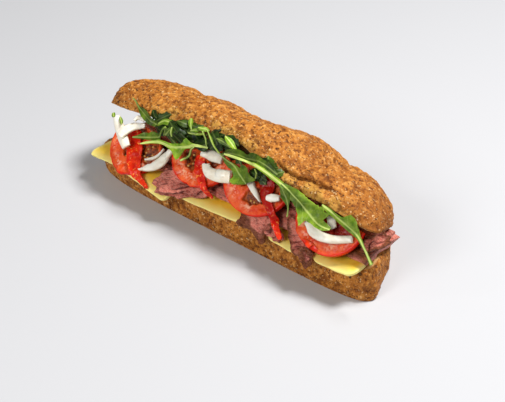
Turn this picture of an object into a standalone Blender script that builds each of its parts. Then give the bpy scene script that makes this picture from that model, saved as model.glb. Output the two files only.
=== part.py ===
"""A submarine sandwich: a wholemeal roll cut open along its front and filled with cheese slices, folded roast
beef, half rounds of tomato, strips of roasted red pepper, onion pieces and rocket leaves.

+X runs along the roll to its right end, -Y is the open front and +Z is up. The origin is the middle of the flat
underside. Sizes are in millimetres, and MM turns them into metres when a mesh is made.

The filling shows on a slope between the front edge of the lower half and the raised rim of the upper half. A
place on the slope is (u, v, w): u along the roll, v up the slope and w outwards from it. Each piece that lies on
the slope is a thin sheet that settles on what was laid before it, with a small gap.
"""

import bpy
import numpy as np

MM = 0.001
GAP = 0.35

# The roll. Its front corners are squarer than its back ones, and its right end slants back.
LEFT_END = 121.0
RIGHT_END = 118.0
MIDDLE_X = 0.5 * (RIGHT_END - LEFT_END)
ROLL_WIDTH = 71.0
CORNER_POWER = {"front_left": 5.0, "front_right": 7.0, "back_left": 3.0, "back_right": 2.3}
END_SLANT = 0.30
BASE_THICK = 21.0
BASE_RISE = 0.02
LID_TILT_DEG = 30.0
LID_THICK = 27.5
LID_FULLNESS = 0.85
LID_ARCH = 14.5
HINGE_GAP = 0.5
SCORE_X = (-65.0, -6.0, 55.0)
SCORE_LEAN = 0.5
SCORE_DEPTH = (3.6, 5.2, 5.6)
SCORE_WIDTH = 5.0
LIP_X = (30.0, 78.0)
LIP_UP = 7.0
LIP_DEPTH = 2.2

# The slope that the filling lies on, and the lines that hold the filling's front and top.
SLOPE_DEG = 45.0
SLOPE_U = (-128.0, 132.0)
SLOPE_V = (-34.0, 62.0)
CELL = 0.75

# Thickness of each food.
CHEESE_THICK = 2.5
BEEF_THICK = 2.4
FLAP_THICK = 2.0
TOMATO_THICK = 4.2
PEPPER_THICK = 1.8
LEAF_THICK = 0.6

COLOURS = {
    "crust": (0.42, 0.19, 0.055),
    "cheese": (0.86, 0.66, 0.24),
    "beef": (0.46, 0.17, 0.14),
    "tomato": (0.62, 0.07, 0.03),
    "pepper": (0.58, 0.03, 0.015),
    "onion": (0.86, 0.85, 0.76),
    "rocket": (0.12, 0.28, 0.04),
}
ROUGHNESS = {
    "crust": 0.75,
    "cheese": 0.4,
    "beef": 0.5,
    "tomato": 0.25,
    "pepper": 0.2,
    "onion": 0.3,
    "rocket": 0.45,
}

slope_sin = np.sin(np.radians(SLOPE_DEG))
slope_cos = np.cos(np.radians(SLOPE_DEG))


def to_slope(points):
    """World (x, y, z) to slope (u, v, w)."""
    x, y, z = np.moveaxis(np.asarray(points, float), -1, 0)
    return np.stack([x, y * slope_cos + z * slope_sin, z * slope_cos - y * slope_sin], -1)


def from_slope(u, v, w):
    """Slope (u, v, w) to world (x, y, z)."""
    return np.stack([u + 0 * w, v * slope_cos - w * slope_sin, v * slope_sin + w * slope_cos], -1)


def smooth_step(x, low, high):
    """0 below low, 1 above high, and an easy S between them."""
    t = np.clip((x - low) / (high - low), 0.0, 1.0)
    return t * t * (3.0 - 2.0 * t)


def lumps(a, b, size, seed):
    """Soft unevenness from -1 to 1: three crossing waves of about this size, turned and shifted by the seed."""
    total = 0.0
    for k in range(3):
        turn = seed * 1.7 + k * 2.1
        wave = (a * np.cos(turn) + b * np.sin(turn)) * 2.0 * np.pi / (size * (1.0 + 0.37 * k))
        total = total + np.sin(wave + seed * 3.1 + k * 1.3)
    return total / 3.0


class Heap:
    """The outer surface of everything laid so far, as the height w over a grid of u and v."""

    def __init__(self):
        self.u = np.arange(SLOPE_U[0], SLOPE_U[1], CELL)
        self.v = np.arange(SLOPE_V[0], SLOPE_V[1], CELL)
        self.height = np.full((len(self.u), len(self.v)), -60.0)
        self.wide = {}

    def add(self, points, triangles):
        """Raises the surface to these triangles, given in world places."""
        corners = to_slope(points)[triangles]
        for a, b, c in corners:
            low = np.minimum(np.minimum(a, b), c)
            high = np.maximum(np.maximum(a, b), c)
            i0, i1 = np.searchsorted(self.u, (low[0] - 0.01, high[0] + 0.01))
            j0, j1 = np.searchsorted(self.v, (low[1] - 0.01, high[1] + 0.01))
            area = (b[0] - a[0]) * (c[1] - a[1]) - (c[0] - a[0]) * (b[1] - a[1])
            if i0 == i1 or j0 == j1 or abs(area) < 1e-9:
                continue
            u = self.u[i0:i1, None] - a[0]
            v = self.v[None, j0:j1] - a[1]
            s = (u * (c[1] - a[1]) - v * (c[0] - a[0])) / area
            t = (v * (b[0] - a[0]) - u * (b[1] - a[1])) / area
            w = a[2] + s * (b[2] - a[2]) + t * (c[2] - a[2])
            inside = (s >= -0.01) & (t >= -0.01) & (s + t <= 1.01)
            part = self.height[i0:i1, j0:j1]
            part[inside] = np.maximum(part[inside], w[inside])
        self.wide = {}

    def top(self, u, v, reach):
        """The highest point of the surface within reach of each (u, v)."""
        cells = int(round(reach / CELL))
        if cells not in self.wide:
            wide = self.height.copy()
            for axis in (0, 1):
                spread = wide.copy()
                for step in range(-cells, cells + 1):
                    spread = np.maximum(spread, np.roll(wide, step, axis))
                wide = spread
            self.wide[cells] = wide
        i = np.clip(np.rint((u - self.u[0]) / CELL).astype(int), 0, len(self.u) - 1)
        j = np.clip(np.rint((v - self.v[0]) / CELL).astype(int), 0, len(self.v) - 1)
        return self.wide[cells][i, j]


heap = Heap()


def food_material(food):
    """The material of one food, made once."""
    found = bpy.data.materials.get(food)
    if found:
        return found
    material = bpy.data.materials.new(food)
    material.use_nodes = True
    shader = material.node_tree.nodes["Principled BSDF"]
    shader.inputs["Base Color"].default_value = (*COLOURS[food], 1.0)
    shader.inputs["Roughness"].default_value = ROUGHNESS[food]
    shader.inputs["Metallic"].default_value = 0.0
    return material


def make_node(name, points, triangles, food, on_heap=True):
    """One named solid from points in millimetres, and its mark on the heap."""
    mesh = bpy.data.meshes.new(name)
    placed = (np.asarray(points) - (MIDDLE_X, 0.0, 0.0)) * MM
    mesh.from_pydata(placed.tolist(), [], np.asarray(triangles).tolist())
    mesh.shade_smooth()
    mesh.set_sharp_from_angle(angle=np.radians(50.0))
    mesh.materials.append(food_material(food))
    made = bpy.data.objects.new(name, mesh)
    bpy.context.scene.collection.objects.link(made)
    if on_heap:
        heap.add(points, np.asarray(triangles))
    return made


def grid_triangles(rows, columns):
    """The two triangles of each cell of a grid of points, counter-clockwise seen from above."""
    index = np.arange(rows * columns).reshape(rows, columns)
    a, b = index[:-1, :-1].ravel(), index[1:, :-1].ravel()
    c, d = index[1:, 1:].ravel(), index[:-1, 1:].ravel()
    return np.concatenate([np.stack([a, b, c], -1), np.stack([a, c, d], -1)])


def skin(lower, upper):
    """Points and triangles of the closed solid between two like grids of points. Both faces are split alike."""
    rows, columns = lower.shape[:2]
    count = rows * columns
    points = np.concatenate([lower.reshape(-1, 3), upper.reshape(-1, 3)])
    face = grid_triangles(rows, columns)
    index = np.arange(count).reshape(rows, columns)
    edge = np.concatenate([index[:-1, 0], index[-1, :-1], index[:0:-1, -1], index[0, :0:-1]])
    after = np.roll(edge, -1)
    rim = np.concatenate(
        [np.stack([edge, after, after + count], -1), np.stack([edge, after + count, edge + count], -1)]
    )
    triangles = np.concatenate([face + count, face[:, ::-1], rim])
    corners = points[triangles]
    volume = np.einsum("ij,ij->", corners[:, 0], np.cross(corners[:, 1], corners[:, 2]))
    return points, triangles if volume > 0 else triangles[:, ::-1]


def between_neighbours(w):
    """Each point's height averaged with its four neighbours, the edges kept free."""
    padded = np.pad(w, 1, mode="edge")
    around = padded[:-2, 1:-1] + padded[2:, 1:-1] + padded[1:-1, :-2] + padded[1:-1, 2:]
    return 0.5 * w + 0.125 * around


def lay(name, food, u, v, thick, stiff=-60.0, settle=12, ruffle=0.0):
    """A sheet on the heap. Its grid points lie at (u, v), no lower than the heap or than the height stiff, and
    settle between their neighbours like a damp slice. Thick is measured square to the sheet."""
    step_u = np.abs(np.diff(u, axis=0)).mean() + np.abs(np.diff(u, axis=1)).mean()
    step_v = np.abs(np.diff(v, axis=0)).mean() + np.abs(np.diff(v, axis=1)).mean()
    floor = heap.top(u, v, 0.6 * max(step_u, step_v)) + GAP
    w = np.maximum(floor, stiff)
    for _ in range(settle):
        w = np.maximum(np.maximum(floor, stiff), between_neighbours(w))
    w = w + ruffle
    along = np.gradient(w, axis=0) / np.maximum(np.hypot(np.gradient(u, axis=0), np.gradient(v, axis=0)), 0.3)
    across = np.gradient(w, axis=1) / np.maximum(np.hypot(np.gradient(u, axis=1), np.gradient(v, axis=1)), 0.3)
    steep = np.sqrt(1.0 + np.minimum(along**2 + across**2, 1.4))
    points, triangles = skin(from_slope(u, v, w), from_slope(u, v, w + thick * steep))
    return make_node(name, points, triangles, food)


# The bread


def loaf_outline(inset_x, inset_y, count):
    """Points spaced evenly round the roll's plan, counter-clockwise from its right end. Each quarter is a quarter
    of a superellipse |x/a|^n + |y/b|^n = 1 with its own power n."""
    t = np.linspace(0.0, 2.0 * np.pi, 4001)
    c, s = np.cos(t), np.sin(t)
    right = np.where(s > 0, CORNER_POWER["back_right"], CORNER_POWER["front_right"])
    left = np.where(s > 0, CORNER_POWER["back_left"], CORNER_POWER["front_left"])
    power = 2.0 / np.where(c > 0, right, left)
    reach = np.where(c > 0, RIGHT_END, LEFT_END) - inset_x
    x = reach * np.sign(c) * np.abs(c) ** power
    y = (ROLL_WIDTH / 2 - inset_y) * np.sign(s) * np.abs(s) ** power
    x = x - END_SLANT * (y + ROLL_WIDTH / 2) * smooth_step(x, 45.0, RIGHT_END)
    run = np.concatenate([[0.0], np.cumsum(np.hypot(np.diff(x), np.diff(y)))])
    even = np.linspace(0.0, run[-1], count, endpoint=False)
    return np.stack([np.interp(even, run, x), np.interp(even, run, y)], -1)


def rings_to_solid(rings):
    """Points and triangles of a stack of like rings, each closed across its two ends by a ladder of faces."""
    levels, count = rings.shape[:2]
    index = np.arange(levels * count).reshape(levels, count)
    a, b = index[:-1], np.roll(index[:-1], -1, 1)
    c, d = np.roll(index[1:], -1, 1), index[1:]
    wall = np.concatenate([np.stack([a, b, c], -1).reshape(-1, 3), np.stack([a, c, d], -1).reshape(-1, 3)])
    k = np.arange(count // 2)
    other = (count - k) % count
    step = [k, k + 1, (count - k - 1) % count, other]
    ladder = np.concatenate([np.stack(step[:3], -1), np.stack([step[0], step[2], step[3]], -1)])
    whole = [len(set(row)) == 3 for row in ladder.tolist()]
    ladder = ladder[whole]
    triangles = np.concatenate([wall, ladder[:, ::-1], ladder + (levels - 1) * count])
    return rings.reshape(-1, 3), triangles


def base_top(x):
    """Height of the cut face of the lower half."""
    return BASE_THICK + BASE_RISE * x


def bread_base():
    """The lower half: a flat underside, a rolled lower edge, bulging sides and a cut face."""
    count = 84
    levels = ((0.0, 2.2, 1.0), (0.1, 0.8, 0.2), (0.35, 0.4, 0.0), (0.65, 0.0, 0.3), (0.9, 0.6, 0.8), (1.0, 2.2, 2.2))
    rings = []
    for height, inset_x, inset_y in levels:
        x, y = loaf_outline(inset_x, inset_y, count).T
        z = height * base_top(x)
        if 0.0 < height < 1.0:
            y = y * (1.0 + 0.5 * lumps(x, y + z, 21.0, 2) / (ROLL_WIDTH / 2))
        rings.append(np.stack([x, y, z], -1))
    return make_node("bread_base", *rings_to_solid(np.array(rings)), "crust")


def lid_lift(x, across):
    """How far the filling bends the upper half upwards, most at the front rim near the middle of the roll."""
    along = np.exp(-(((x - 5.0) / 84.0) ** 2)) * (1.0 - smooth_step(x, 22.0, 62.0))
    return LID_ARCH * along * (np.clip(across, 0.0, None) / ROLL_WIDTH) ** 1.6


def lid_place(x, across, up):
    """A place in the upper half to world. Across runs from the back hinge to the front rim, up is square to the cut."""
    tilt = np.radians(LID_TILT_DEG)
    up = up + lid_lift(x, across)
    y = ROLL_WIDTH / 2 - 2.0 - across * np.cos(tilt) + up * np.sin(tilt)
    z = base_top(x) + HINGE_GAP + across * np.sin(tilt) + up * np.cos(tilt)
    return np.stack([x, y, z], -1)


def lid_height(x):
    """Height of the crown along the roll: a little flatter towards its ends."""
    return LID_THICK - 1.5 * smooth_step(-x, 10.0, 70.0) - 7.0 * smooth_step(x, 62.0, RIGHT_END)


def score_depth(x, across):
    """Depth of the three slanting baker's scores that divide the crown into four lobes."""
    depth = 0.0
    for start, deep in zip(SCORE_X, SCORE_DEPTH):
        off = x - start + SCORE_LEAN * (across - ROLL_WIDTH / 2)
        depth = depth + deep * np.exp(-((off / SCORE_WIDTH) ** 2))
    return depth


def lip_depth(x, rise):
    """Depth of the crease above the front lip, where two folds of dough met."""
    run = smooth_step(x, LIP_X[0], LIP_X[0] + 14.0) * (1.0 - smooth_step(x, LIP_X[1] - 16.0, LIP_X[1]))
    return LIP_DEPTH * run * np.exp(-(((rise - LIP_UP) / 2.6) ** 2))


def bread_lid():
    """The upper half: a domed crust of four lobes over a cut face, tilted open about its back edge."""
    count = 104
    half = ROLL_WIDTH / 2
    rings = []
    for inset in (0.55, 0.25, 0.0):
        x, y = loaf_outline(inset * half, inset * half, count).T
        hollow = 1.2 * smooth_step(inset, 0.0, 0.5)
        rings.append(lid_place(x, half - y, hollow + 0 * x))
    for angle in (8.0, 18.0, 29.0, 41.0, 54.0, 67.0, 80.0):
        swing = np.radians(angle)
        inset = half * (1.0 - np.cos(swing) ** LID_FULLNESS)
        x, y = loaf_outline(inset, inset, count).T
        rise = lid_height(x) * np.sin(swing)
        across = half - y
        pressed = lip_depth(x, rise) * smooth_step(across, half, 1.4 * half)
        rise = rise - score_depth(x, across) * np.sin(swing) ** 0.8
        rise = rise + 0.6 * lumps(x, y + rise, 24.0, 5)
        rings.append(lid_place(x, across - pressed, rise))
    return make_node("bread_lid", *rings_to_solid(np.array(rings)), "crust")


# The filling


def cheese_slices():
    """Thin slices on the lower half, their front edges drooping a little past the crust. Each is given by the
    four corners of its plan, back left, front left, front right and back right."""
    plans = {
        "cheese_1": ((-113.0, 2.0), (-117.0, -40.0), (-93.0, -39.0), (-72.0, 0.0)),
        "cheese_2": ((-68.0, 6.0), (-88.0, -40.0), (-36.0, -41.0), (-33.0, 6.0)),
        "cheese_3": ((-26.0, 8.0), (-34.0, -41.0), (17.0, -41.0), (24.0, 8.0)),
        "cheese_4": ((32.0, 8.0), (40.0, -39.5), (70.0, -41.0), (66.0, 8.0)),
        "cheese_5": ((76.0, 8.0), (76.0, -41.0), (110.0, -41.5), (111.0, 2.0)),
    }
    front = -ROLL_WIDTH / 2 + 1.5
    for name, corners in plans.items():
        back_left, front_left, front_right, back_right = (np.array(c) for c in corners)
        s, t = np.meshgrid(np.linspace(0, 1, 7), (0, 0.35, 0.7, 0.8, 0.87, 0.94, 1), indexing="ij")
        s3, t3 = s[..., None], t[..., None]
        plan = (1 - t3) * ((1 - s3) * back_left + s3 * back_right) + t3 * (
            (1 - s3) * front_left + s3 * front_right
        )
        middle = plan.mean((0, 1))
        round_off = 1.0 - 0.07 * ((2 * s3 - 1) ** 2) * ((2 * t3 - 1) ** 2)
        x, y = np.moveaxis(middle + (plan - middle) * round_off, -1, 0)
        past = np.clip(front - y, 0.0, None)
        z = base_top(x) + GAP + 0.25 * (1 + lumps(x, y, 31.0, 3)) - past**2 / 20.0
        lower = np.stack([x, y, z], -1)
        upper = lower + np.array([0.0, 0.0, CHEESE_THICK])
        upper[..., 1] -= 0.35 * past
        points, triangles = skin(lower, upper)
        make_node(name, points, triangles, "cheese")


def folded_beef(name, left, right, layers, pitch, seed):
    """A slice of beef folded to and fro in layers, filling the opening from the cheese up to the upper half."""
    tilt = np.radians(LID_TILT_DEG)
    bottom = BASE_THICK + GAP + CHEESE_THICK + 2.4
    toe = -28.5
    lines = []
    for column, x in enumerate(np.linspace(left, right, 8)):
        ragged = 1.3 * lumps(x, 0.0, 19.0, seed)
        line = []
        for layer in range(layers):
            z = bottom + layer * pitch + 0.02 * x + 0.5 * lumps(x, 9.0 * layer, 23.0, seed + 1)
            front = toe + layer * pitch + 1.2 * lumps(x, 13.0 * layer, 17.0, seed + 2) + ragged
            ceiling = z + pitch * (1 - layer % 2) + 2.6 - base_top(x)
            back = ROLL_WIDTH / 2 - 4.0 - ceiling / np.tan(tilt)
            back = min(back, 18.0)
            if layer % 2:
                above = z + pitch + 2.6 - base_top(x)
                back = min(back, ROLL_WIDTH / 2 - 4.0 - above / np.tan(tilt))
            back = max(back, front + 6.0)
            ends = (back, front) if layer % 2 == 0 else (front, back)
            inner = np.linspace(ends[0], ends[1], 4)
            line += [(y, z) for y in inner]
            if layer < layers - 1:
                outward = -1.0 if layer % 2 == 0 else 1.0
                line.append((ends[1] + outward * 0.42 * pitch, z + 0.5 * pitch))
        lines.append([(x, y, z) for y, z in line])
    middle = np.array(lines).transpose(1, 0, 2)
    tangent = np.gradient(middle[..., 1:], axis=0)
    tangent /= np.linalg.norm(tangent, axis=-1, keepdims=True)
    normal = np.stack([np.zeros(tangent.shape[:2]), -tangent[..., 1], tangent[..., 0]], -1)
    half = 0.5 * BEEF_THICK * normal
    points, triangles = skin(middle - half, middle + half)
    make_node(name, points, triangles, "beef")


def patch(rows, columns):
    """A square grid from -1 to 1 in both directions."""
    return np.meshgrid(np.linspace(-1, 1, rows), np.linspace(-1, 1, columns), indexing="ij")


def beef_flap(name, centre, half, turn_deg, ragged, seed, stiff=-60.0):
    """A torn slice of beef over the cheese and the folded beef. Its edge wanders, and it ripples."""
    a, b = patch(9, 8)
    edge = np.maximum(np.abs(a), np.abs(b))
    a_round = a * np.sqrt(1.0 - 0.28 * b * b)
    b_round = b * np.sqrt(1.0 - 0.28 * a * a)
    wander = 1.0 + ragged * edge**3 * lumps(9.0 * a, 9.0 * b, 6.5, seed)
    across = half[0] * a_round * wander
    along = half[1] * b_round * wander
    turn = np.radians(turn_deg)
    u = centre[0] + across * np.cos(turn) - along * np.sin(turn)
    v = centre[1] + across * np.sin(turn) + along * np.cos(turn)
    ruffle = 0.7 * (1.0 + lumps(u, v, 8.0, seed + 4)) * (0.3 + edge)
    lay(name, "beef", u, v, FLAP_THICK, stiff=stiff, settle=10, ruffle=ruffle)


def tomato_half(name, centre, radius, keep, turn_deg, lean=0.0, stiff=-60.0):
    """A half round of tomato, its cut side tucked under the upper half. Keep is how far up from the centre it goes."""
    a, b = patch(11, 10)
    x = a * np.sqrt(1.0 - 0.5 * b * b)
    y = b * np.sqrt(1.0 - 0.5 * a * a)
    y = np.where(y > 0.0, y * keep, y)
    turn = np.radians(turn_deg)
    u = centre[0] + radius * (x * np.cos(turn) - y * np.sin(turn))
    v = centre[1] + radius * (x * np.sin(turn) + y * np.cos(turn))
    rest = stiff + lean * (u - centre[0])
    lay(name, "tomato", u, v, TOMATO_THICK, stiff=rest, settle=40)


def strip_grid(path, widths, stations, columns=3):
    """A band of this width along a smooth curve through the path's places, as grids of u and v."""
    path = np.asarray(path, float)
    run = np.concatenate([[0.0], np.cumsum(np.linalg.norm(np.diff(path[:, :2], axis=0), axis=1))])
    even = np.linspace(0.0, run[-1], stations)
    fine = np.linspace(0.0, run[-1], 241)
    spread = run[-1] / (2.2 * (len(path) - 1))
    kernel = np.exp(-(((fine[:, None] - fine[None, :]) / spread) ** 2))
    kernel /= kernel.sum(1, keepdims=True)
    places = np.stack([np.interp(fine, run, path[:, k]) for k in (0, 1)], -1)
    eased = kernel @ places
    eased += (places[0] - eased[0]) * np.exp(-fine / spread)[:, None]
    eased += (places[-1] - eased[-1]) * np.exp(-(run[-1] - fine) / spread)[:, None]
    line = np.stack([np.interp(even, fine, eased[:, k]) for k in (0, 1)], -1)
    way = np.gradient(line, axis=0)
    way /= np.linalg.norm(way, axis=1, keepdims=True)
    side = np.stack([-way[:, 1], way[:, 0]], -1)
    share = np.linspace(0.0, 1.0, len(widths))
    width = np.interp(even / run[-1], share, widths)
    across = np.linspace(-0.5, 0.5, columns)
    grid = line[:, None] + side[:, None] * (across[None, :, None] * width[:, None, None])
    return grid[..., 0], grid[..., 1], even / run[-1]


def pepper_strip(name, path, widths):
    """A soft strip of roasted pepper lying over the filling."""
    u, v, _ = strip_grid(path, widths, 11, 4)
    lay(name, "pepper", u, v, PEPPER_THICK, settle=6)


def onion_piece(name, path, widths, thick, stiff=-60.0):
    """A curved piece cut from one scale of an onion."""
    u, v, _ = strip_grid(path, widths, 9, 3)
    lay(name, "onion", u, v, thick, stiff=stiff, settle=30)


def rocket_leaf(name, path, widths, stiff, seed):
    """A rocket leaf along its midrib. Widths run from the stalk through the lobes to the tip."""
    u, v, share = strip_grid(path, widths, 15, 5)
    across = np.linspace(-1.0, 1.0, 5)[None, :]
    frill = (0.6 + lumps(20.0 * share[:, None], 6.0 * across, 9.0, seed)) * across**2
    frill = np.clip(frill, 0.0, None)
    lay(name, "rocket", u, v, LEAF_THICK, stiff=stiff, settle=8, ruffle=frill)


def meat_and_tomato():
    """Roast beef folded under the front of the upper half, torn slices over it, and half rounds of tomato."""
    folded_beef("beef_fold_1", -98.0, -38.0, 3, 5.4, 3)
    folded_beef("beef_fold_2", -35.0, 33.0, 4, 5.4, 7)
    folded_beef("beef_fold_3", 36.0, 110.0, 3, 5.4, 11)
    beef_flap("beef_1", (-37.0, -5.0), (21.0, 11.0), 12.0, 0.16, 2)
    beef_flap("beef_2", (29.0, -4.0), (13.0, 12.0), -8.0, 0.2, 5)
    beef_flap("beef_3", (58.0, -5.0), (13.0, 11.0), -30.0, 0.22, 8)
    beef_flap("beef_4", (112.0, 12.0), (9.0, 9.0), 25.0, 0.2, 12, stiff=42.0)
    tomato_half("tomato_1", (-84.0, 4.0), 20.0, 0.7, 30.0)
    tomato_half("tomato_2", (-28.0, 19.0), 24.0, 0.3, 0.0)
    tomato_half("tomato_4", (79.0, 17.0), 25.0, 0.0, 0.0)
    tomato_half("tomato_3", (19.0, 19.0), 25.0, 0.3, 0.0)


def peppers_and_onions():
    """Strips of roasted pepper and curved pieces of onion on top of the tomato."""
    pepper_strip("pepper_1", ((-87, 15), (-81, 2), (-72, -8), (-60, -14), (-52, -18)), (6, 8, 9, 7, 3))
    pepper_strip("pepper_2", ((-28, 17), (-23, 7), (-14, 0), (-5, -5)), (5, 8, 7, 3))
    pepper_strip("pepper_3", ((25, 20), (38, 8), (53, -5), (63, -9)), (11, 11, 7, 6, 4))
    onion_piece("onion_left", ((-101, 14), (-93, 6), (-82, 0)), (3, 5, 5, 4), 2.6)
    onion_piece("onion_branch", ((-88, 10), (-84, 14), (-76, 17)), (3, 4, 3), 2.4)
    onion_piece("onion_thin", ((-72, -2), (-64, 2), (-61, 10)), (2.2, 2.6, 2.0), 2.0)
    onion_piece("onion_long", ((-68, -9), (-57, -2), (-48, 10)), (1.4, 6, 6, 3), 2.6)
    onion_piece("onion_middle", ((-25, 19), (-10, 21)), (4, 6.5, 6.5), 2.6)
    onion_piece("onion_curl", ((-19, 13), (-15, 8), (-6, 9), (3, 12)), (5, 7, 8, 8), 3.2)
    onion_piece("onion_small_1", ((17, 13), (24, 9), (31, 6)), (5, 4, 2), 2.2)
    onion_piece("onion_small_2", ((34, 11), (42, 14)), (3, 5, 3.5), 2.4)
    onion_piece("onion_pale", ((78, 17), (85, 11)), (4, 6, 4), 2.0)
    onion_piece("onion_large", ((67, 8), (75, 2), (88, 4), (100, 10)), (5, 7, 6, 5, 4.5), 3.6)


def rocket():
    """Rocket leaves, laid last. Some lie over the rim of the upper half."""
    rocket_leaf("rocket_1", ((-71, 20), (-62, 24), (-49, 25), (-39, 27)), (4, 9, 11, 8, 3), 56.0, 2)
    rocket_leaf("rocket_2", ((-54, 15), (-39, 18), (-26, 24), (-11, 25)), (3, 8, 10, 7, 4), 56.0, 3)
    rocket_leaf("rocket_3", ((-80, 8), (-76, 13), (-67, 17), (-55, 20)), (1, 5, 8, 9, 5), 56.0, 4)
    rocket_leaf("rocket_4", ((-92, 31), (-82, 26), (-72, 23), (-62, 20)), (1, 3, 5, 4, 2), 57.0, 5)
    rocket_leaf("rocket_5", ((-71, 6), (-55, 9), (-41, 14), (-26, 19)), (1, 3, 8, 9, 4, 3, 2), 55.0, 6)
    rocket_leaf("rocket_6", ((-14, 29), (-2, 27), (6, 28), (19, 28)), (4, 9, 10, 8, 3), 57.0, 7)
    rocket_leaf("rocket_7", ((11, 25), (23, 25), (39, 23), (48, 19)), (3, 6, 8, 7, 3), 56.0, 8)
    rocket_leaf("rocket_8", ((-6, 26), (1, 23), (9, 17), (16, 10)), (2, 8, 12, 13, 5), 55.0, 9)
    rocket_leaf("rocket_9", ((-26, 30), (-17, 27), (-9, 22)), (1.4, 3, 5, 2), 57.0, 10)
    rocket_leaf("rocket_10", ((40, 20), (47, 12), (52, 4)), (3, 5, 4, 1), 53.0, 11)
    long_path = ((-9, 22), (12, 24), (39, 21), (54, 18), (69, 13), (85, 8))
    rocket_leaf("rocket_11", long_path, (1.4, 1.4, 1.6, 2, 5, 6, 10, 7, 13, 8, 14, 8, 3, 2), 56.0, 12)
    small_path = ((76, 21), (86, 20), (97, 18), (104, 12), (111, 5), (121, 1))
    rocket_leaf("rocket_12", small_path, (1.4, 4, 6, 3, 8, 5, 2, 1.3, 1.3, 1.3), 55.0, 13)


def clear_scene():
    for item in list(bpy.data.objects):
        bpy.data.objects.remove(item, do_unlink=True)


def main():
    clear_scene()
    bread_base()
    cheese_slices()
    meat_and_tomato()
    peppers_and_onions()
    bread_lid()
    rocket()


main()
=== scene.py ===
# %% [markdown]
# # A submarine sandwich, built in layers
#
# This notebook dresses a measured sandwich in food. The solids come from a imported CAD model. Each of them is
# replaced here by a finer mesh with the same place and size, and a material that is worked out by nodes.
#
# Three ideas carry the whole build. Every food is a stack of rings, so that a slice, a strip and a loaf share one
# mesh builder. Every topping is laid on a height map of what lies under it, so that it drapes as wet food does.
# Every surface gets its relief from one noise function, and marks made from that relief steer its colour.

import bpy
import numpy as np
from mathutils import Matrix


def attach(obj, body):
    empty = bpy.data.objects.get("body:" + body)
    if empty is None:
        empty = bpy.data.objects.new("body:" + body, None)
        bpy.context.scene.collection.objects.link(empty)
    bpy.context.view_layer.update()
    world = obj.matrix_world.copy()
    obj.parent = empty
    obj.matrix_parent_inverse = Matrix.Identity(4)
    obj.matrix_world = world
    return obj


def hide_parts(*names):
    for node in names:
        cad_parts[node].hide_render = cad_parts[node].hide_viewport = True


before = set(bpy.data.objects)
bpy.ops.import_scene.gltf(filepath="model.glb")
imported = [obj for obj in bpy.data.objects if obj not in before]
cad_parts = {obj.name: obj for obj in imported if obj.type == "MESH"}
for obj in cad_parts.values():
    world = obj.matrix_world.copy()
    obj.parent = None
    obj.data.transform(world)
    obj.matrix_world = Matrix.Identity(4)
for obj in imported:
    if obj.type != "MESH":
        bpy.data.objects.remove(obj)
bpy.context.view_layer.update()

# %% [markdown]
# ## Sizes
#
# The driving sizes are those of the solids, in millimetres. +X runs along the roll to its right end, -Y is the
# open front and +Z is up. Meshes are drawn in these millimetres, and are moved by MIDDLE_X and turned into metres
# when they are made. CELL, GAP and EMPTY belong to the height map further down: the size of its cells, the air
# between two layers, and the height where nothing lies.

# %% Sizes
MM = 0.001
LEFT_END = 121.0
RIGHT_END = 118.0
MIDDLE_X = 0.5 * (RIGHT_END - LEFT_END)
ROLL_WIDTH = 71.0
HALF = ROLL_WIDTH / 2
CORNER_POWER = {"front_left": 5.0, "front_right": 7.0, "back_left": 3.0, "back_right": 2.3}
END_SLANT = 0.30
BASE_THICK = 21.0
BASE_RISE = 0.02
LID_TILT = np.radians(30.0)
LID_THICK = 27.5
LID_ARCH = 14.5
LID_DROOP = 5.0
HINGE_GAP = 0.5
CELL = 0.4
GAP = 0.12
EMPTY = -60.0
print("roll:", LEFT_END + RIGHT_END, "mm long and", ROLL_WIDTH, "mm wide")

# %% [markdown]
# ## Noise
#
# Value noise puts a fixed random number on each corner of a cubic lattice and blends between the corners with the
# curve 6t^5 - 15t^4 + 10t^3, which has no visible lattice lines. Summing it at halved sizes gives the rough, self
# similar relief of crust and torn meat. It works on whole arrays, so a million points take about a second.


# %% Noise
def smooth_step(x, low, high):
    """0 below low, 1 above high, and 3t^2 - 2t^3 between them."""
    t = np.clip((x - low) / (high - low), 0.0, 1.0)
    return t * t * (3.0 - 2.0 * t)


def bell(x, middle, width):
    """1 in the middle, falling off as exp(-d^2), where d is the distance in widths."""
    return np.exp(-(((x - middle) / width) ** 2))


def places(a, b, c):
    """Points (..., 3) from three numbers or arrays whose shapes fit together."""
    return np.stack(np.broadcast_arrays(a, b, c), -1)


def lattice(cell, seed):
    """A fixed random number from 0 to 1 for each whole-number corner (..., 3)."""
    n = cell[..., 0] * 374761393 + cell[..., 1] * 668265263 + cell[..., 2] * 1440662683 + seed * 1274126177
    n = n & 0xFFFFFFFF
    n = ((n ^ (n >> 13)) * 1274126177) & 0xFFFFFFFF
    return ((n ^ (n >> 16)) & 0xFFFFFF) / 16777215.0


def noise(points, size, seed=0, octaves=1):
    """Value noise from about -1 to 1, with features of this size in millimetres at the first octave."""
    points = np.asarray(points, float)
    total, weight = 0.0, 1.0
    for octave in range(octaves):
        p = points / (size * 0.5**octave) + 37.3 * (octave + 1)
        cell = np.floor(p).astype(np.int64)
        f = p - cell
        f = f**3 * (f * (6.0 * f - 15.0) + 10.0)
        value = 0.0
        for corner in np.ndindex(2, 2, 2):
            pick = np.array(corner)
            share = np.prod(np.where(pick, f, 1.0 - f), -1)
            value = value + share * lattice(cell + pick, seed + octave)
        total = total + weight * (2.0 * value - 1.0)
        weight *= 0.5
    return total


def lumps(a, b, size, seed):
    """The soft unevenness that the solids have: three crossing waves of about this size."""
    total = 0.0
    for k in range(3):
        turn = seed * 1.7 + k * 2.1
        wave = (a * np.cos(turn) + b * np.sin(turn)) * 2.0 * np.pi / (size * (1.0 + 0.37 * k))
        total = total + np.sin(wave + seed * 3.1 + k * 1.3)
    return total / 3.0


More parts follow.
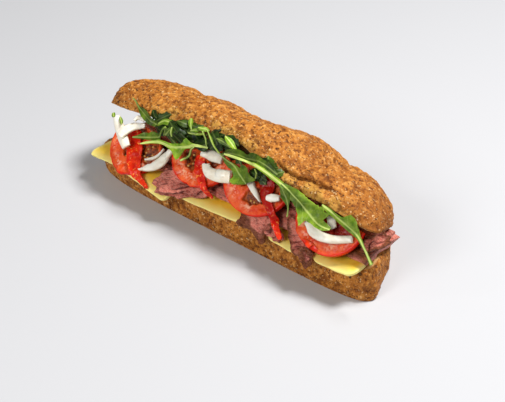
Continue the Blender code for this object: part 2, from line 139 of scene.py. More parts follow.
check = noise(np.random.default_rng(1).uniform(-50, 50, (20000, 3)), 4.0)
print("noise from", round(check.min(), 2), "to", round(check.max(), 2))

# %% [markdown]
# ## One mesh builder for all
#
# A closed solid is drawn as a stack of rings. A loaf is a stack from its flat underside, up its side and in over
# its crown. A slice is a stack from the middle of its lower face, out to its rim and back in over its upper face.
# A strip or a leaf is a stack of cross-sections along its length. Both ends of a stack close with a fan of
# triangles to a middle point, or with a ladder of quads where the last ring is long and thin.


# %% Rings to a mesh
def ring_faces(levels, count, start, end):
    """Quads between the rings of a stack, and the fan or ladder that closes each end of it."""
    index = np.arange(levels * count).reshape(levels, count)
    a, b = index[:-1], np.roll(index[:-1], -1, 1)
    c, d = np.roll(index[1:], -1, 1), index[1:]
    quads = [np.stack([a, b, c, d], -1).reshape(-1, 4)]
    tris = []
    k = np.arange(1, count // 2)
    ladder = np.stack([k, k + 1, (count - k - 1) % count, count - k], -1)
    tip = np.array([[0, 1, count - 1]])
    around = np.arange(count)
    for which, way, first in ((start, -1, 0), (end, 1, (levels - 1) * count)):
        if which == "ladder":
            whole = ladder[ladder[:, 1] != ladder[:, 2]]
            quads.append((whole + first)[:, ::way])
            tris.append((tip + first)[:, ::way])
            last = ladder[ladder[:, 1] == ladder[:, 2]][:, [0, 1, 3]]
            tris.append((last + first)[:, ::way])
        else:
            middle = levels * count + (0 if way < 0 else 1)
            fan = np.stack([np.full(count, middle), around + first, np.roll(around, -1) + first], -1)
            tris.append(fan[:, ::way])
    return np.concatenate(quads), np.concatenate(tris)


def signed_volume(points, quads, tris):
    """Six times the volume inside the faces; it is negative where they face inwards."""
    total = 0.0
    for three in (quads[:, [0, 1, 2]], quads[:, [0, 2, 3]], tris):
        p = points[three]
        total += np.einsum("ij,ij->", p[:, 0], np.cross(p[:, 1], p[:, 2]))
    return total


# %% A closed body from rings
def stack(rings, start="fan", end="fan", **values):
    """A closed body of points, quads, tris and per-point values from rings (levels, count, 3)."""
    levels, count = rings.shape[:2]
    quads, tris = ring_faces(levels, count, start, end)
    points = np.concatenate([rings.reshape(-1, 3), rings[:1].mean(1), rings[-1:].mean(1)])
    spread = {}
    for key, value in values.items():
        value = np.broadcast_to(value, rings.shape[:2])
        spread[key] = np.concatenate([value.ravel(), [value[0].mean(), value[-1].mean()]])
    if signed_volume(points, quads, tris) < 0:
        quads, tris = quads[:, ::-1], tris[:, ::-1]
    used = np.unique(np.concatenate([quads.ravel(), tris.ravel()]))
    place = np.full(len(points), -1)
    place[used] = np.arange(len(used))
    return points[used], place[quads], place[tris], {k: v[used] for k, v in spread.items()}


# %% A piece from its bodies
def make_piece(name, bodies, material):
    """One object from one or more closed bodies. It replaces the solid of the same name."""
    points, corners, sizes, values = [], [], [], {}
    start = 0
    for p, quads, tris, extra in bodies:
        points.append(p)
        corners += [(quads + start).ravel(), (tris + start).ravel()]
        sizes += [np.full(len(quads), 4), np.full(len(tris), 3)]
        for key, value in extra.items():
            values.setdefault(key, []).append(value)
        start += len(p)
    points, corners, sizes = np.concatenate(points), np.concatenate(corners), np.concatenate(sizes)
    mesh = bpy.data.meshes.new(name + "_look")
    mesh.vertices.add(len(points))
    mesh.loops.add(len(corners))
    mesh.polygons.add(len(sizes))
    mesh.vertices.foreach_set("co", ((points - (MIDDLE_X, 0.0, 0.0)) * MM).ravel())
    mesh.loops.foreach_set("vertex_index", corners)
    mesh.polygons.foreach_set("loop_start", np.concatenate([[0], np.cumsum(sizes)[:-1]]))
    for key, value in values.items():
        layer = mesh.attributes.new(key, "FLOAT", "POINT")
        layer.data.foreach_set("value", np.concatenate(value).astype(np.float32))
    mesh.update(calc_edges=True)
    mesh.validate()
    mesh.shade_smooth()
    mesh.materials.append(material)
    piece = bpy.data.objects.new(name + "_look", mesh)
    bpy.context.scene.collection.objects.link(piece)
    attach(piece, "root")
    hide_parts(name)
    print(f"{name}: {len(points)} points, {len(sizes)} faces")
    return piece


def ring_normals(rings):
    """Outward unit normals of a stack of rings: the cross product of the ways round and along it."""
    along = np.gradient(rings, axis=0)
    around = np.roll(rings, -1, 1) - np.roll(rings, 1, 1)
    normal = np.cross(around, along)
    return normal / np.maximum(np.linalg.norm(normal, axis=-1, keepdims=True), 1e-9)


print("a stack of 3 rings of 8 has", [len(part) for part in ring_faces(3, 8, "fan", "fan")], "quads and triangles")


# %% [markdown]
# ## The slope and the height map
#
# The filling shows on a slope of 45 degrees between the lower crust and the raised rim of the lid. A place on it is
# u along the roll, v up the slope and w outwards. The height map keeps the highest w in cells of 0.4 mm. A new
# slice first takes the height of what lies under it, and then is blurred and pushed back above it a few times.
# That is a cheap stand-in for a cloth simulation, and it always gives the same result. A wide blur makes a stiff
# slice of tomato and a narrow one a limp strip of pepper.


# %% The slope
ROOT_HALF = np.sqrt(0.5)


def to_slope(points):
    """Turns world millimetres by 45 degrees about X: v = (y + z) / sqrt 2 and w = (z - y) / sqrt 2."""
    x, y, z = np.moveaxis(points, -1, 0)
    return places(x, (y + z) * ROOT_HALF, (z - y) * ROOT_HALF)


def from_slope(u, v, w):
    """The same turn the other way: y = (v - w) / sqrt 2 and z = (v + w) / sqrt 2."""
    return places(u, (v - w) * ROOT_HALF, (v + w) * ROOT_HALF)


def widen(height, cells):
    """The highest value within this many cells, along one axis and then the other."""
    for axis in (0, 1):
        spread = height.copy()
        for step in range(1, cells + 1):
            spread = np.maximum(spread, np.roll(height, step, axis))
            spread = np.maximum(spread, np.roll(height, -step, axis))
        height = spread
    return height


# %% The height map
class Heap:
    """The outer surface of everything laid so far, as the height w over cells of u and v."""

    def __init__(self):
        self.u = np.arange(-132.0, 136.0, CELL)
        self.v = np.arange(-36.0, 64.0, CELL)
        self.height = np.full((len(self.u), len(self.v)), EMPTY)

    def cells(self, u, v):
        """The row and the column of the cell nearest to each place."""
        i = np.clip(np.rint((u - self.u[0]) / CELL).astype(int), 0, len(self.u) - 1)
        j = np.clip(np.rint((v - self.v[0]) / CELL).astype(int), 0, len(self.v) - 1)
        return i, j

    def add(self, rings):
        """Raises the surface to a stack of rings, read at its points and half way between them."""
        between = 0.5 * (rings[1:] + rings[:-1])
        fresh = np.full(self.height.shape, EMPTY)
        for points in (rings, between, 0.5 * (rings + np.roll(rings, 1, 1))):
            u, v, w = np.moveaxis(to_slope(points), -1, 0)
            np.maximum.at(fresh, self.cells(u, v), w)
        self.height = np.maximum(self.height, widen(fresh, 1))

    def sample(self, field, u, v):
        """A field of the map read between its cells, as the mean of four cells weighted by nearness."""
        a = np.clip((u - self.u[0]) / CELL, 0, len(self.u) - 1.001)
        b = np.clip((v - self.v[0]) / CELL, 0, len(self.v) - 1.001)
        i, j = a.astype(int), b.astype(int)
        s, t = a - i, b - j
        low = field[i, j] * (1 - t) + field[i, j + 1] * t
        high = field[i + 1, j] * (1 - t) + field[i + 1, j + 1] * t
        return low * (1 - s) + high * s

    def settle(self, u, v, blur, rounds, stiff):
        """The resting height over the cells that (u, v) covers. Each round is w = max(floor, blurred w), and the
        floor is what lies there or the height stiff. A narrow blur is used once more, so that no step is left."""
        mask = np.zeros(self.height.shape, bool)
        mask[self.cells(u, v)] = True
        mask = widen(mask, 3)
        rows, columns = np.nonzero(mask)
        box = (slice(rows.min(), rows.max() + 1), slice(columns.min(), columns.max() + 1))
        inside = mask[box].astype(float)
        floor = np.maximum(widen(self.height, 2)[box] + GAP, stiff)
        kernels = []
        for length in inside.shape:
            k = np.arange(length)
            kernels.append(np.exp(-(((k[:, None] - k[None, :]) * CELL / blur) ** 2)))
        weight = np.maximum(kernels[0] @ inside @ kernels[1], 1e-9)
        w = floor
        for _ in range(rounds):
            w = np.maximum(floor, kernels[0] @ (w * inside) @ kernels[1] / weight)
        field = np.full(self.height.shape, EMPTY)
        field[box] = kernels[0] @ (w * inside) @ kernels[1] / weight if blur < 1.5 else w
        return field


heap = Heap()
print("height map:", heap.height.shape, "cells")


# %% Laying a slice on the heap
def lay_rings(u, v, share, thick, blur, rounds, stiff=EMPTY, lift=0.0):
    """Rings of a slice laid on the heap. Share is 0 on the lower face and 1 on the upper face, thick is square to
    the slice, and lift raises single points along the normal. Returns the rings in world millimetres."""
    field = heap.settle(u, v, blur, rounds, stiff)
    step = 1.0
    w = heap.sample(field, u, v)
    du = (heap.sample(field, u + step, v) - heap.sample(field, u - step, v)) / (2 * step)
    dv = (heap.sample(field, u, v + step) - heap.sample(field, u, v - step)) / (2 * step)
    du, dv = np.clip(du, -1.2, 1.2), np.clip(dv, -1.2, 1.2)
    length = np.sqrt(1.0 + du * du + dv * dv)
    out = (share * thick + lift) / length
    return from_slope(u - du * out, v - dv * out, w + out + 0.5 * GAP)


# %% [markdown]
# ## Materials
#
# Each material starts from Blender's Principled shader. Colour comes from noise in object space, and from numbers
# stored on the mesh points, such as how near a point is to a rim. Those numbers are worked out with the shape, so
# a browned edge is always on the edge. Fine grain that is too small for the mesh is a bump.


# %% Material helpers
class Paint:
    """Builds the node tree of one material. Settings are inputs of its shader, with _ in place of a space."""

    def __init__(self, name, roughness, **settings):
        self.material = bpy.data.materials.new(name)
        self.material.use_nodes = True
        self.tree = self.material.node_tree
        self.shader = self.tree.nodes["Principled BSDF"]
        self.shader.inputs["Roughness"].default_value = roughness
        for key, value in settings.items():
            self.shader.inputs[key.replace("_", " ")].default_value = value
        self.coords = self.tree.nodes.new("ShaderNodeTexCoord").outputs["Object"]

    def link(self, value, socket):
        """Feeds a socket from another node's output, or sets it to a constant."""
        if isinstance(value, bpy.types.NodeSocket):
            self.tree.links.new(value, socket)
        else:
            socket.default_value = value

    def noise(self, size, detail=3.0, rough=0.6, stretch=None):
        """Noise with features of this size in millimetres."""
        node = self.tree.nodes.new("ShaderNodeTexNoise")
        node.inputs["Scale"].default_value = 1000.0 / size
        node.inputs["Detail"].default_value = detail
        node.inputs["Roughness"].default_value = rough
        self.link(self.stretched(stretch), node.inputs["Vector"])
        return node.outputs["Fac"]

    def stretched(self, stretch):
        """Object coordinates, multiplied axis by axis where a pattern has a grain."""
        if stretch is None:
            return self.coords
        node = self.tree.nodes.new("ShaderNodeMapping")
        node.inputs["Scale"].default_value = stretch
        self.link(self.coords, node.inputs["Vector"])
        return node.outputs["Vector"]

    def cells(self, size):
        """Distance to the nearest of scattered points, and that point's own random colour."""
        node = self.tree.nodes.new("ShaderNodeTexVoronoi")
        node.inputs["Scale"].default_value = 1000.0 / size
        self.link(self.coords, node.inputs["Vector"])
        return node.outputs["Distance"], node.outputs["Color"]

    def value(self, name):
        """A number stored on the mesh points."""
        node = self.tree.nodes.new("ShaderNodeAttribute")
        node.attribute_name = name
        return node.outputs["Fac"]

    def ramp(self, value, low, high, start=0.0, end=1.0):
        """Start below low, end above high, and an even run between them."""
        node = self.tree.nodes.new("ShaderNodeMapRange")
        self.link(value, node.inputs["Value"])
        for key, number in (("From Min", low), ("From Max", high), ("To Min", start), ("To Max", end)):
            node.inputs[key].default_value = number
        return node.outputs["Result"]

    def times(self, a, b):
        """The product of two numbers."""
        node = self.tree.nodes.new("ShaderNodeMath")
        node.operation = "MULTIPLY"
        self.link(a, node.inputs[0])
        self.link(b, node.inputs[1])
        return node.outputs["Value"]

    def mix(self, share, a, b):
        """Colour a where share is 0 and colour b where it is 1."""
        node = self.tree.nodes.new("ShaderNodeMix")
        node.data_type = "RGBA"
        self.link(share, node.inputs["Factor"])
        self.link(a, node.inputs[6])
        self.link(b, node.inputs[7])
        return node.outputs[2]

    def finish(self, colour, height, distance, strength):
        """The finished material: this colour, and a bump from height that is distance millimetres deep."""
        self.link(colour, self.shader.inputs["Base Color"])
        bump = self.tree.nodes.new("ShaderNodeBump")
        bump.inputs["Strength"].default_value = strength
        bump.inputs["Distance"].default_value = distance * MM
        self.link(height, bump.inputs["Height"])
        self.link(bump.outputs["Normal"], self.shader.inputs["Normal"])
        print(self.material.name + ":", len(self.tree.nodes), "nodes")
        return self.material


def srgb(red, green, blue):
    """A colour as picked from a picture, 0 to 255, in the linear light that shaders use."""
    c = np.array([red, green, blue]) / 255.0
    c = np.where(c <= 0.04045, c / 12.92, ((c + 0.055) / 1.055) ** 2.4)
    return (*c.tolist(), 1.0)


# %% [markdown]
# ## The crust
#
# Wholemeal crust is golden brown in broad patches and speckled with bran. An image texture would repeat and tie the
# grain to one picture, so the flecks are noise in three sizes, cut off at a high level so that only its peaks show.
# Pores are scattered cells, of which a random colour picks some, and they are painted dark as shade in small holes.
# Glints are the finest noise in a pale tint, a painted highlight. The cut faces inside are paler crumb. Values on
# the mesh points add what goes with the shape: `high` is painted highlight on the crests of the relief, `low` is
# painted shade in its pits and in the crease over the lip, `pale` is the band above the rim that opened late in the
# oven and browned less, and the last is painted shade on the right end of the lid.


# %% Crust material
def crust_material():
    """Golden brown in patches, painted highlight on crests, painted shade in pits and pores, bran flecks, glints,
    crumb on cut faces.
    """
    paint = Paint("crust_look", 0.62, Specular_IOR_Level=0.2)
    patch = paint.ramp(paint.noise(15.0, 4.0, 0.65), 0.38, 0.62)
    colour = paint.mix(patch, srgb(148, 80, 20), srgb(186, 115, 40))
    fine = paint.ramp(paint.noise(2.4, 4.0, 0.75), 0.38, 0.64)
    colour = paint.mix(paint.times(fine, 0.6), colour, srgb(214, 143, 60))
    # Painted highlight on the crests of the relief.
    colour = paint.mix(paint.times(paint.value("high"), 0.6), colour, srgb(228, 163, 80))
    colour = paint.mix(paint.times(paint.value("pale"), 0.75), colour, srgb(190, 142, 60))
    # Painted shade in the pits of the relief and in the crease over the lip.
    colour = paint.mix(paint.times(paint.value("low"), 0.65), colour, srgb(96, 46, 12))
    # Painted shade on the right end of the lid.
    colour = paint.mix(paint.times(paint.value("right_end_shade"), 0.6), colour, srgb(140, 78, 22))
    for size, low, high, share, tint in (
        (1.7, 0.55, 0.66, 0.5, srgb(120, 60, 18)),
        (2.6, 0.6, 0.64, 0.8, srgb(88, 40, 12)),
        (3.4, 0.65, 0.675, 0.85, srgb(54, 24, 8)),
    ):
        fleck = paint.ramp(paint.noise(size, 2.0, 0.6, (0.9, 1.2, 1.0)), low, high)
        colour = paint.mix(paint.times(fleck, share), colour, tint)
    # Painted shade: scattered pores are darkened as small holes that light does not reach.
    near, pick = paint.cells(1.9)
    pore_shade = paint.times(paint.ramp(near, 0.2, 0.36, 1.0, 0.0), paint.ramp(pick, 0.55, 0.65))
    colour = paint.mix(paint.times(pore_shade, 0.85), colour, srgb(92, 44, 12))
    glint = paint.ramp(paint.noise(1.7, 2.0, 0.6), 0.625, 0.68)
    colour = paint.mix(paint.times(glint, 0.5), colour, srgb(252, 218, 160))
    crumb = paint.mix(paint.noise(3.0), srgb(186, 138, 80), srgb(220, 178, 118))
    colour = paint.mix(paint.value("crumb"), colour, crumb)
    grain = paint.noise(1.6, 4.0, 0.7)
    return paint.finish(colour, grain, distance=0.9, strength=1.0)


crust = crust_material()

# %% [markdown]
# ## The roll
#
# The plan of the roll is four quarters of superellipses |x/a|^n + |y/b|^n = 1. A high power n gives the squarer
# front corners, and a low one the rounder back. A box with bevelled edges would be quicker, but a roll has no
# straight line. The crust's relief is worked out at each point of the stack and moves it along its normal.


# %% The roll's plan
def loaf_outline(inset_x, inset_y, count):
    """Points spaced evenly round the roll's plan, counter-clockwise from its right end."""
    t = np.linspace(0.0, 2.0 * np.pi, 6001)
    c, s = np.cos(t), np.sin(t)
    right = np.where(s > 0, CORNER_POWER["back_right"], CORNER_POWER["front_right"])
    left = np.where(s > 0, CORNER_POWER["back_left"], CORNER_POWER["front_left"])
    power = 2.0 / np.where(c > 0, right, left)
    reach = np.where(c > 0, RIGHT_END, LEFT_END) - inset_x
    x = reach * np.sign(c) * np.abs(c) ** power
    y = (HALF - inset_y) * np.sign(s) * np.abs(s) ** power
    x = x - END_SLANT * (y + HALF) * smooth_step(x, 45.0, RIGHT_END)
    run = np.concatenate([[0.0], np.cumsum(np.hypot(np.diff(x), np.diff(y)))])
    even = np.linspace(0.0, run[-1], count, endpoint=False)
    return np.stack([np.interp(even, run, x), np.interp(even, run, y)], -1)


def base_top(x):
    """Height of the cut face of the lower half, which rises evenly to the right."""
    return BASE_THICK + BASE_RISE * x


def crust_relief(points, seed):
    """The whole relief of the crust in millimetres outwards, and the small part of it, from about -1 to 1."""
    knobs = noise(points, 9.0, seed, 2)
    folds = 1.0 - np.abs(noise(points * (0.7, 1.2, 1.2), 5.0, seed + 7, 2))
    grit = noise(points, 2.3, seed + 13, 2)
    pits = smooth_step(noise(points, 3.1, seed + 19, 2), 0.35, 0.7)
    small = 0.7 * (folds - 0.6) + 0.8 * grit - 0.8 * pits
    return 0.6 * knobs + 0.55 * small, small


def crust_marks(small, outside):
    """The point values high and low: painted highlight on the crests and painted shade in the pits of the small
    relief, outside the roll only.
    """
    return {"high": smooth_step(small, 0.15, 0.8) * outside, "low": smooth_step(-small, 0.1, 0.9) * outside}


print("rim height, left and right:", base_top(-LEFT_END), base_top(RIGHT_END), "mm")


# %% [markdown]
# ### The lower half
#
# The rings run out over the underside, up the wall and in again over the cut face. Six levels of the wall say how
# far it draws in at the ends and at the front. The relief is full on the wall, weak on the cut face and nothing on
# the underside, so that the roll stands flat. The left end reaches further out at the front than at
# the back, and the right bottom corner of the front sticks out a little.


# %% The lower half
ROUND_COUNT = 760
WALL = ((0.0, 2.2, 1.0), (0.1, 0.8, 0.2), (0.35, 0.4, 0.0), (0.65, 0.0, 0.3), (0.9, 0.6, 0.8), (1.0, 2.2, 2.2))


def bread_base():
    """Rings of the roll's plan. Each level of the wall is its height as a share, and its insets along X and Y."""
    count = ROUND_COUNT
    t = np.linspace(0.0, 1.0, 34)
    knots = np.linspace(0.0, 1.0, len(WALL))
    rows = [np.interp(t, knots, values) for values in np.array(WALL).T]
    inward = np.linspace(HALF - 0.4, 1.2, 24)
    rings, wall = [], []
    for inset in inward:
        x, y = loaf_outline(inset + 1.0, inset, count).T
        rings.append(places(x, y, 0.0))
        wall.append(0.0)
    for h, a, b in zip(*rows):
        x, y = loaf_outline(a, b, count).T
        front = smooth_step(-y, 0.0, 28.0)
        x = x + front * (3.6 * (1.0 - h) * smooth_step(x, 78.0, 112.0) - 4.0 * smooth_step(-x, 80.0, LEFT_END))
        x = x + 6.0 * smooth_step(y, -14.0, 6.0) * smooth_step(-x, 88.0, LEFT_END)
        z = h * base_top(x)
        swell = 0.5 * lumps(x, y + z, 21.0, 2) * np.sin(np.pi * h) / HALF
        rings.append(places(x, y * (1.0 + swell), z))
        wall.append(smooth_step(h, 0.0, 0.12))
    for inset in inward[::-1]:
        x, y = loaf_outline(inset + 2.2, inset + 0.4, count).T
        rings.append(places(x, y, base_top(x)))
        wall.append(-0.35)
    rings, wall = np.array(rings), np.array(wall)[:, None]
    relief, small = crust_relief(rings, 3)
    relief = relief * np.abs(wall)
    rings = rings + ring_normals(rings) * (relief - 0.3)[..., None] * (wall != 0)[..., None]
    rings[..., 2] = np.maximum(rings[..., 2], 0.0)
    crumb = (wall < 0) * np.ones(rings.shape[:2])
    heap.add(rings)
    values = {
        "crumb": crumb,
        "right_end_shade": 0.0,
        **crust_marks(small, wall > 0),
        "pale": 0.0,
    }
    return make_piece("bread_base", [stack(rings, "ladder", "ladder", **values)], crust)


bread_base()


# %% [markdown]
# ### The upper half
#
# The plan shrinks as the stack of rings rises over the crown, by b(1 - cos^0.85 q) at the angle q, while the height
# follows sin q. The lid is drawn flat and then tilted open about its back edge. The filling lifts its front rim most
# near the middle of the roll, and its right end droops. Three slanting scores part the lid into four lobes, which
# differ in height. A lip of dough with a crease over it runs along the rim towards the right end, and a paler, more
# open band lies above the rim. Sculpting would give the same forms, but these can be moved by one number each.


# %% The upper half
SCORES = ((-60.0, 4.6), (4.0, 9.5), (57.0, 9.5))
SCORE_LEAN = 0.25


def lid_lift(x, across):
    """How far the filling bends the lid upwards, less the droop of its right end."""
    along = bell(x, 5.0, 84.0) * (1.0 - smooth_step(x, -6.0, 48.0))
    share = np.clip(across, 0.0, None) / ROLL_WIDTH
    return LID_ARCH * along * share**1.6 - LID_DROOP * smooth_step(x, 68.0, 114.0) * share**0.7


def lid_place(x, across, up):
    """A place in the flat lid to world. Across runs from the back hinge to the front rim."""
    up = up + lid_lift(x, across)
    y = HALF - 2.0 - across * np.cos(LID_TILT) + up * np.sin(LID_TILT)
    z = base_top(x) + HINGE_GAP + across * np.sin(LID_TILT) + up * np.cos(LID_TILT)
    return places(x, y, z)


def lid_height(x):
    """Height of the crown: less before the second score, more after it, and less again at both ends."""
    height = LID_THICK - 4.2 * bell(x, -16.0, 18.0) + 2.4 * bell(x, 30.0, 13.0)
    for amount, start, end in ((3.0, 40.0, 54.0), (2.2, 62.0, 74.0), (5.0, 66.0, RIGHT_END)):
        height = height - amount * smooth_step(x, start, end)
    return height - 1.5 * smooth_step(-x, 10.0, 70.0)


def score_depth(x, across):
    """Depth of the scores: a wide bell and a narrow one across each slanting line, fading towards the rim."""
    depth = 0.0
    for start, deep in SCORES:
        off = x - start + SCORE_LEAN * (across - HALF)
        fade = 1.0 - 0.75 * smooth_step(across, HALF + 2.0, HALF + 28.0)
        depth = depth + fade * deep * (0.75 * bell(off, 0.0, 7.0) + 0.25 * bell(off, 0.0, 1.6))
    return depth


def lip_depth(x, rise):
    """How far the crease over the lip is pressed in, less how far the lip under it swells out."""
    run = smooth_step(x, 31.0, 38.0) * (1.0 - smooth_step(x, 66.0, 84.0))
    return run * (3.4 * bell(rise, 8.5, 1.7) - 1.2 * bell(rise, 4.5, 2.6))


# %% The lid's rings
def bread_lid():
    """Rings out over the cut face and in over the crown. Kind is the height share and the side of each ring."""
    count = ROUND_COUNT
    rings, kind, creases = [], [], []
    for inset in np.linspace(HALF - 0.5, 0.6, 26):
        x, y = loaf_outline(inset, inset, count).T
        hollow = 1.2 * smooth_step(inset / HALF, 0.0, 0.5)
        rings.append(lid_place(x, HALF - y, hollow + 0 * x))
        kind.append((0.0, -1.0))
        creases.append(0.0 * x)
    swings = np.concatenate([np.linspace(1.0, 80.0, 50), (82, 83.5, 85, 86.2, 87.3, 88.2, 89.0, 89.6)])
    for swing in np.radians(swings):
        inset = HALF * (1.0 - np.cos(swing) ** 0.85)
        x, y = loaf_outline(inset, inset, count).T
        rise = lid_height(x) * np.sin(swing)
        across = HALF - y
        pressed = lip_depth(x, rise) * smooth_step(across, HALF, 1.4 * HALF)
        rise = rise - score_depth(x, across) * np.sin(swing) ** 0.8
        rise = rise + 0.6 * lumps(x, y + rise, 24.0, 5)
        rings.append(lid_place(x, across - pressed, rise))
        kind.append((np.sin(swing), 1.0))
        creases.append(smooth_step(pressed, 0.8, 2.4))
    rings, creases = np.array(rings), np.array(creases)
    height, side = np.array(kind).T[..., None]
    outer = (side > 0) * smooth_step(height, 0.0, 0.06)
    x = rings[..., 0]
    front = smooth_step(-rings[..., 1], -8.0, 8.0)
    band = smooth_step(noise(rings, 7.0, 55, 2), -0.6, 0.3)
    spots = smooth_step(x, -85.0, -60.0) * (1 - smooth_step(x, 5.0, 30.0))
    spots = spots + smooth_step(x, 30.0, 42.0) * (1 - smooth_step(x, 90.0, 104.0))
    pale = front * (1.0 - smooth_step(height, 0.2, 0.5)) * band * spots * (side > 0)
    relief, small = crust_relief(rings, 21)
    blobs = np.abs(noise(rings, 6.0, 77))
    relief = relief + pale * (2.2 * np.minimum(blobs, 0.45) - 0.4)
    # On the pale band the blobs get painted highlight and the hollows between them painted shade, and the crease over
    # the lip gets painted shade.
    small = small - pale * (0.9 - 1.7 * smooth_step(blobs, 0.05, 0.3)) - 0.8 * creases
    amount = np.where(side > 0, relief * (0.35 + 0.65 * outer), 0.35 * relief)
    rings = rings + ring_normals(rings) * amount[..., None]
    values = {
        "crumb": (side < 0) * np.ones_like(x),
        # painted shade on the right end of the lid
        "right_end_shade": smooth_step(x, 72.0, 112.0) * (side > 0),
        **crust_marks(small, side > 0),
        "pale": pale,
    }
    make_piece("bread_lid", [stack(rings, "ladder", "ladder", **values)], crust)
    return rings


lid_rings = bread_lid()

# %% [markdown]
# ## Slices and strips
#
# A slice is drawn in polar form: its outline is scaled from a middle point, out along the lower face, round the rim
# and back along the upper face. A strip is drawn by its middle line, which is smoothed with a Gaussian kernel, and
# a cross-section that is carried along it. Both hand their (u, v) places to the heap, which gives them a height. So
# the plan of each topping can be traced from a photo, and the heap sees to it that nothing hovers or cuts through.


# %% Slices and strips
def slice_profile(inner, rim, sharp=1.0):
    """Reach from 0 to 1 and face share from 0 to 1, over the lower face, the rim and the upper face."""
    flat = 1.0 - rim
    inside = flat * np.linspace(0.03, 1.0, inner, endpoint=False)
    turn = np.linspace(-0.5 * np.pi, 0.5 * np.pi, 11)
    reach = np.concatenate([inside, flat + rim * np.cos(turn) ** sharp, inside[::-1]])
    share = np.concatenate([np.zeros(inner), 0.5 + 0.5 * np.sin(turn), np.ones(inner)])
    return reach[:, None], share[:, None]


def circle(count):
    """Angles once round, and their cosines and sines, each as a row."""
    turn = np.linspace(0.0, 2.0 * np.pi, count, endpoint=False)[None, :]
    return turn, np.cos(turn), np.sin(turn)


def rounded_square(c, s, power):
    """How far |x|^n + |y|^n = 1 lies from the middle, in the direction whose cosine and sine are c and s."""
    return (np.abs(c) ** power + np.abs(s) ** power) ** (-1.0 / power)


def smoothing(count, spread):
    """A matrix that blurs a row of this many numbers, with its ends kept."""
    k = np.arange(count)
    weight = np.exp(-(((k[:, None] - k[None, :]) / spread) ** 2))
    weight /= weight.sum(1, keepdims=True)
    first = np.exp(-k / spread)[:, None] * (np.eye(count)[0] - weight[0])
    last = np.exp(-k[::-1] / spread)[:, None] * (np.eye(count)[-1] - weight[-1])
    return weight + first + last


def midline(path, step):
    """Places every step millimetres along a smooth curve through the path, with the ways along and to the left."""
    path = np.asarray(path, float)
    run = np.concatenate([[0.0], np.cumsum(np.linalg.norm(np.diff(path, axis=0), axis=1))])
    count = max(int(run[-1] / step), 8)
    even = np.linspace(0.0, run[-1], count)
    line = np.stack([np.interp(even, run, path[:, k]) for k in (0, 1)], -1)
    line = smoothing(count, count / (2.4 * (len(path) - 1))) @ line
    way = np.gradient(line, axis=0)
    way /= np.linalg.norm(way, axis=1, keepdims=True)
    return line, way, np.stack([-way[:, 1], way[:, 0]], -1), even / run[-1]


def section(count, square):
    """Round a cross-section: side is -cos t, and the face share is 0.5 - 0.5 sign(sin t) |sin t|^square."""
    turn = np.linspace(0.0, 2.0 * np.pi, count, endpoint=False)
    bulge = np.abs(np.sin(turn)) ** square
    return -np.cos(turn)[None, :], (0.5 - 0.5 * np.sign(np.sin(turn)) * bulge)[None, :]


def along_widths(share, widths):
    """Widths that are spaced evenly along a strip, read between them at each share of its length."""
    return np.interp(share, np.linspace(0.0, 1.0, len(widths)), widths)


def beside(line, left, side, half):
    """Places (u, v) of a strip: the middle line and side times half a width to its left."""
    return line[:, :1] + left[:, :1] * side * half, line[:, 1:] + left[:, 1:] * side * half


print("a strip of 30 mm has", len(midline(((0, 0), (30, 0)), 0.7)[0]), "cross-sections")


# %% [markdown]
# ## Cheese
#
# Each slice is a patch between four corners. Its front edge hangs past the crust by d and sags by d^2 / 20, which
# is how a soft sheet bends under its own weight near its support. Cut cheese dries from its edges, so the point
# value `edge` makes them paler. A little light scatters under the surface, as it does in all the fillings here.


# %% Cheese material
def cheese_material():
    """Two close yellows, paler towards the rim."""
    scatter = dict(Subsurface_Radius=(1.0, 0.7, 0.25), Subsurface_Weight=0.12, Subsurface_Scale=0.003)
    paint = Paint("cheese_look", 0.42, Specular_IOR_Level=0.25, **scatter)
    soft = paint.ramp(paint.noise(11.0, 2.0), 0.35, 0.65)
    colour = paint.mix(soft, srgb(252, 204, 52), srgb(255, 222, 88))
    colour = paint.mix(paint.value("edge"), colour, srgb(255, 240, 150))
    return paint.finish(colour, paint.noise(2.4, 3.0), distance=0.15, strength=0.35)


# %% Cheese slices
def cheese_slice(name, corners, seed, power=12.0):
    """A superellipse spread between the corners back left, front left, front right and back right."""
    reach, share = slice_profile(30, 0.02, 0.6)
    _, c, s = circle(220)
    outline = rounded_square(c, s, power)
    a, b = reach * outline * c, reach * outline * s
    along, out = (0.5 * (a + 1.0))[..., None], (0.5 * (b + 1.0))[..., None]
    back_left, front_left, front_right, back_right = (np.array(corner) for corner in corners)
    plan = (1 - out) * ((1 - along) * back_left + along * back_right) + out * (
        (1 - along) * front_left + along * front_right
    )
    x, y = np.moveaxis(plan, -1, 0)
    y = y + 0.18 * noise(places(x, 0.0, seed), 6.0, seed, 2) * smooth_step(b, 0.3, 1.0)
    past = np.clip(-HALF + 1.5 - y, 0.0, None)
    z = base_top(x) + 0.35 + 0.25 * (1 + lumps(x, y, 31.0, 3)) - past**2 / 20.0
    rings = np.stack([x, y - 0.35 * past * share, z + 2.5 * share], -1)
    rings = rings + ring_normals(rings) * 0.12 * noise(rings, 5.0, seed)[..., None]
    heap.add(rings)
    edge = smooth_step(np.maximum(np.abs(a), np.abs(b)), 0.72, 1.0) * 0.85
    make_piece(name, [stack(rings, edge=edge)], cheese)


cheese = cheese_material()
cheese_slice("cheese_1", ((-113.0, 2.0), (-117.0, -40.0), (-93.0, -39.0), (-72.0, 0.0)), 1)
cheese_slice("cheese_2", ((-68.0, 6.0), (-88.0, -40.0), (-41.5, -45.5), (-37.0, 6.0)), 2)
cheese_slice("cheese_3", ((-26.0, 8.0), (-34.0, -40.5), (17.0, -38.5), (24.0, 8.0)), 3)
cheese_slice("cheese_4", ((32.0, 8.0), (40.0, -39.5), (70.0, -41.0), (66.0, 8.0)), 4)
cheese_slice("cheese_5", ((75.0, 8.0), (75.0, -40.5), (109.0, -39.0), (105.0, 2.0)), 5, 6.0)
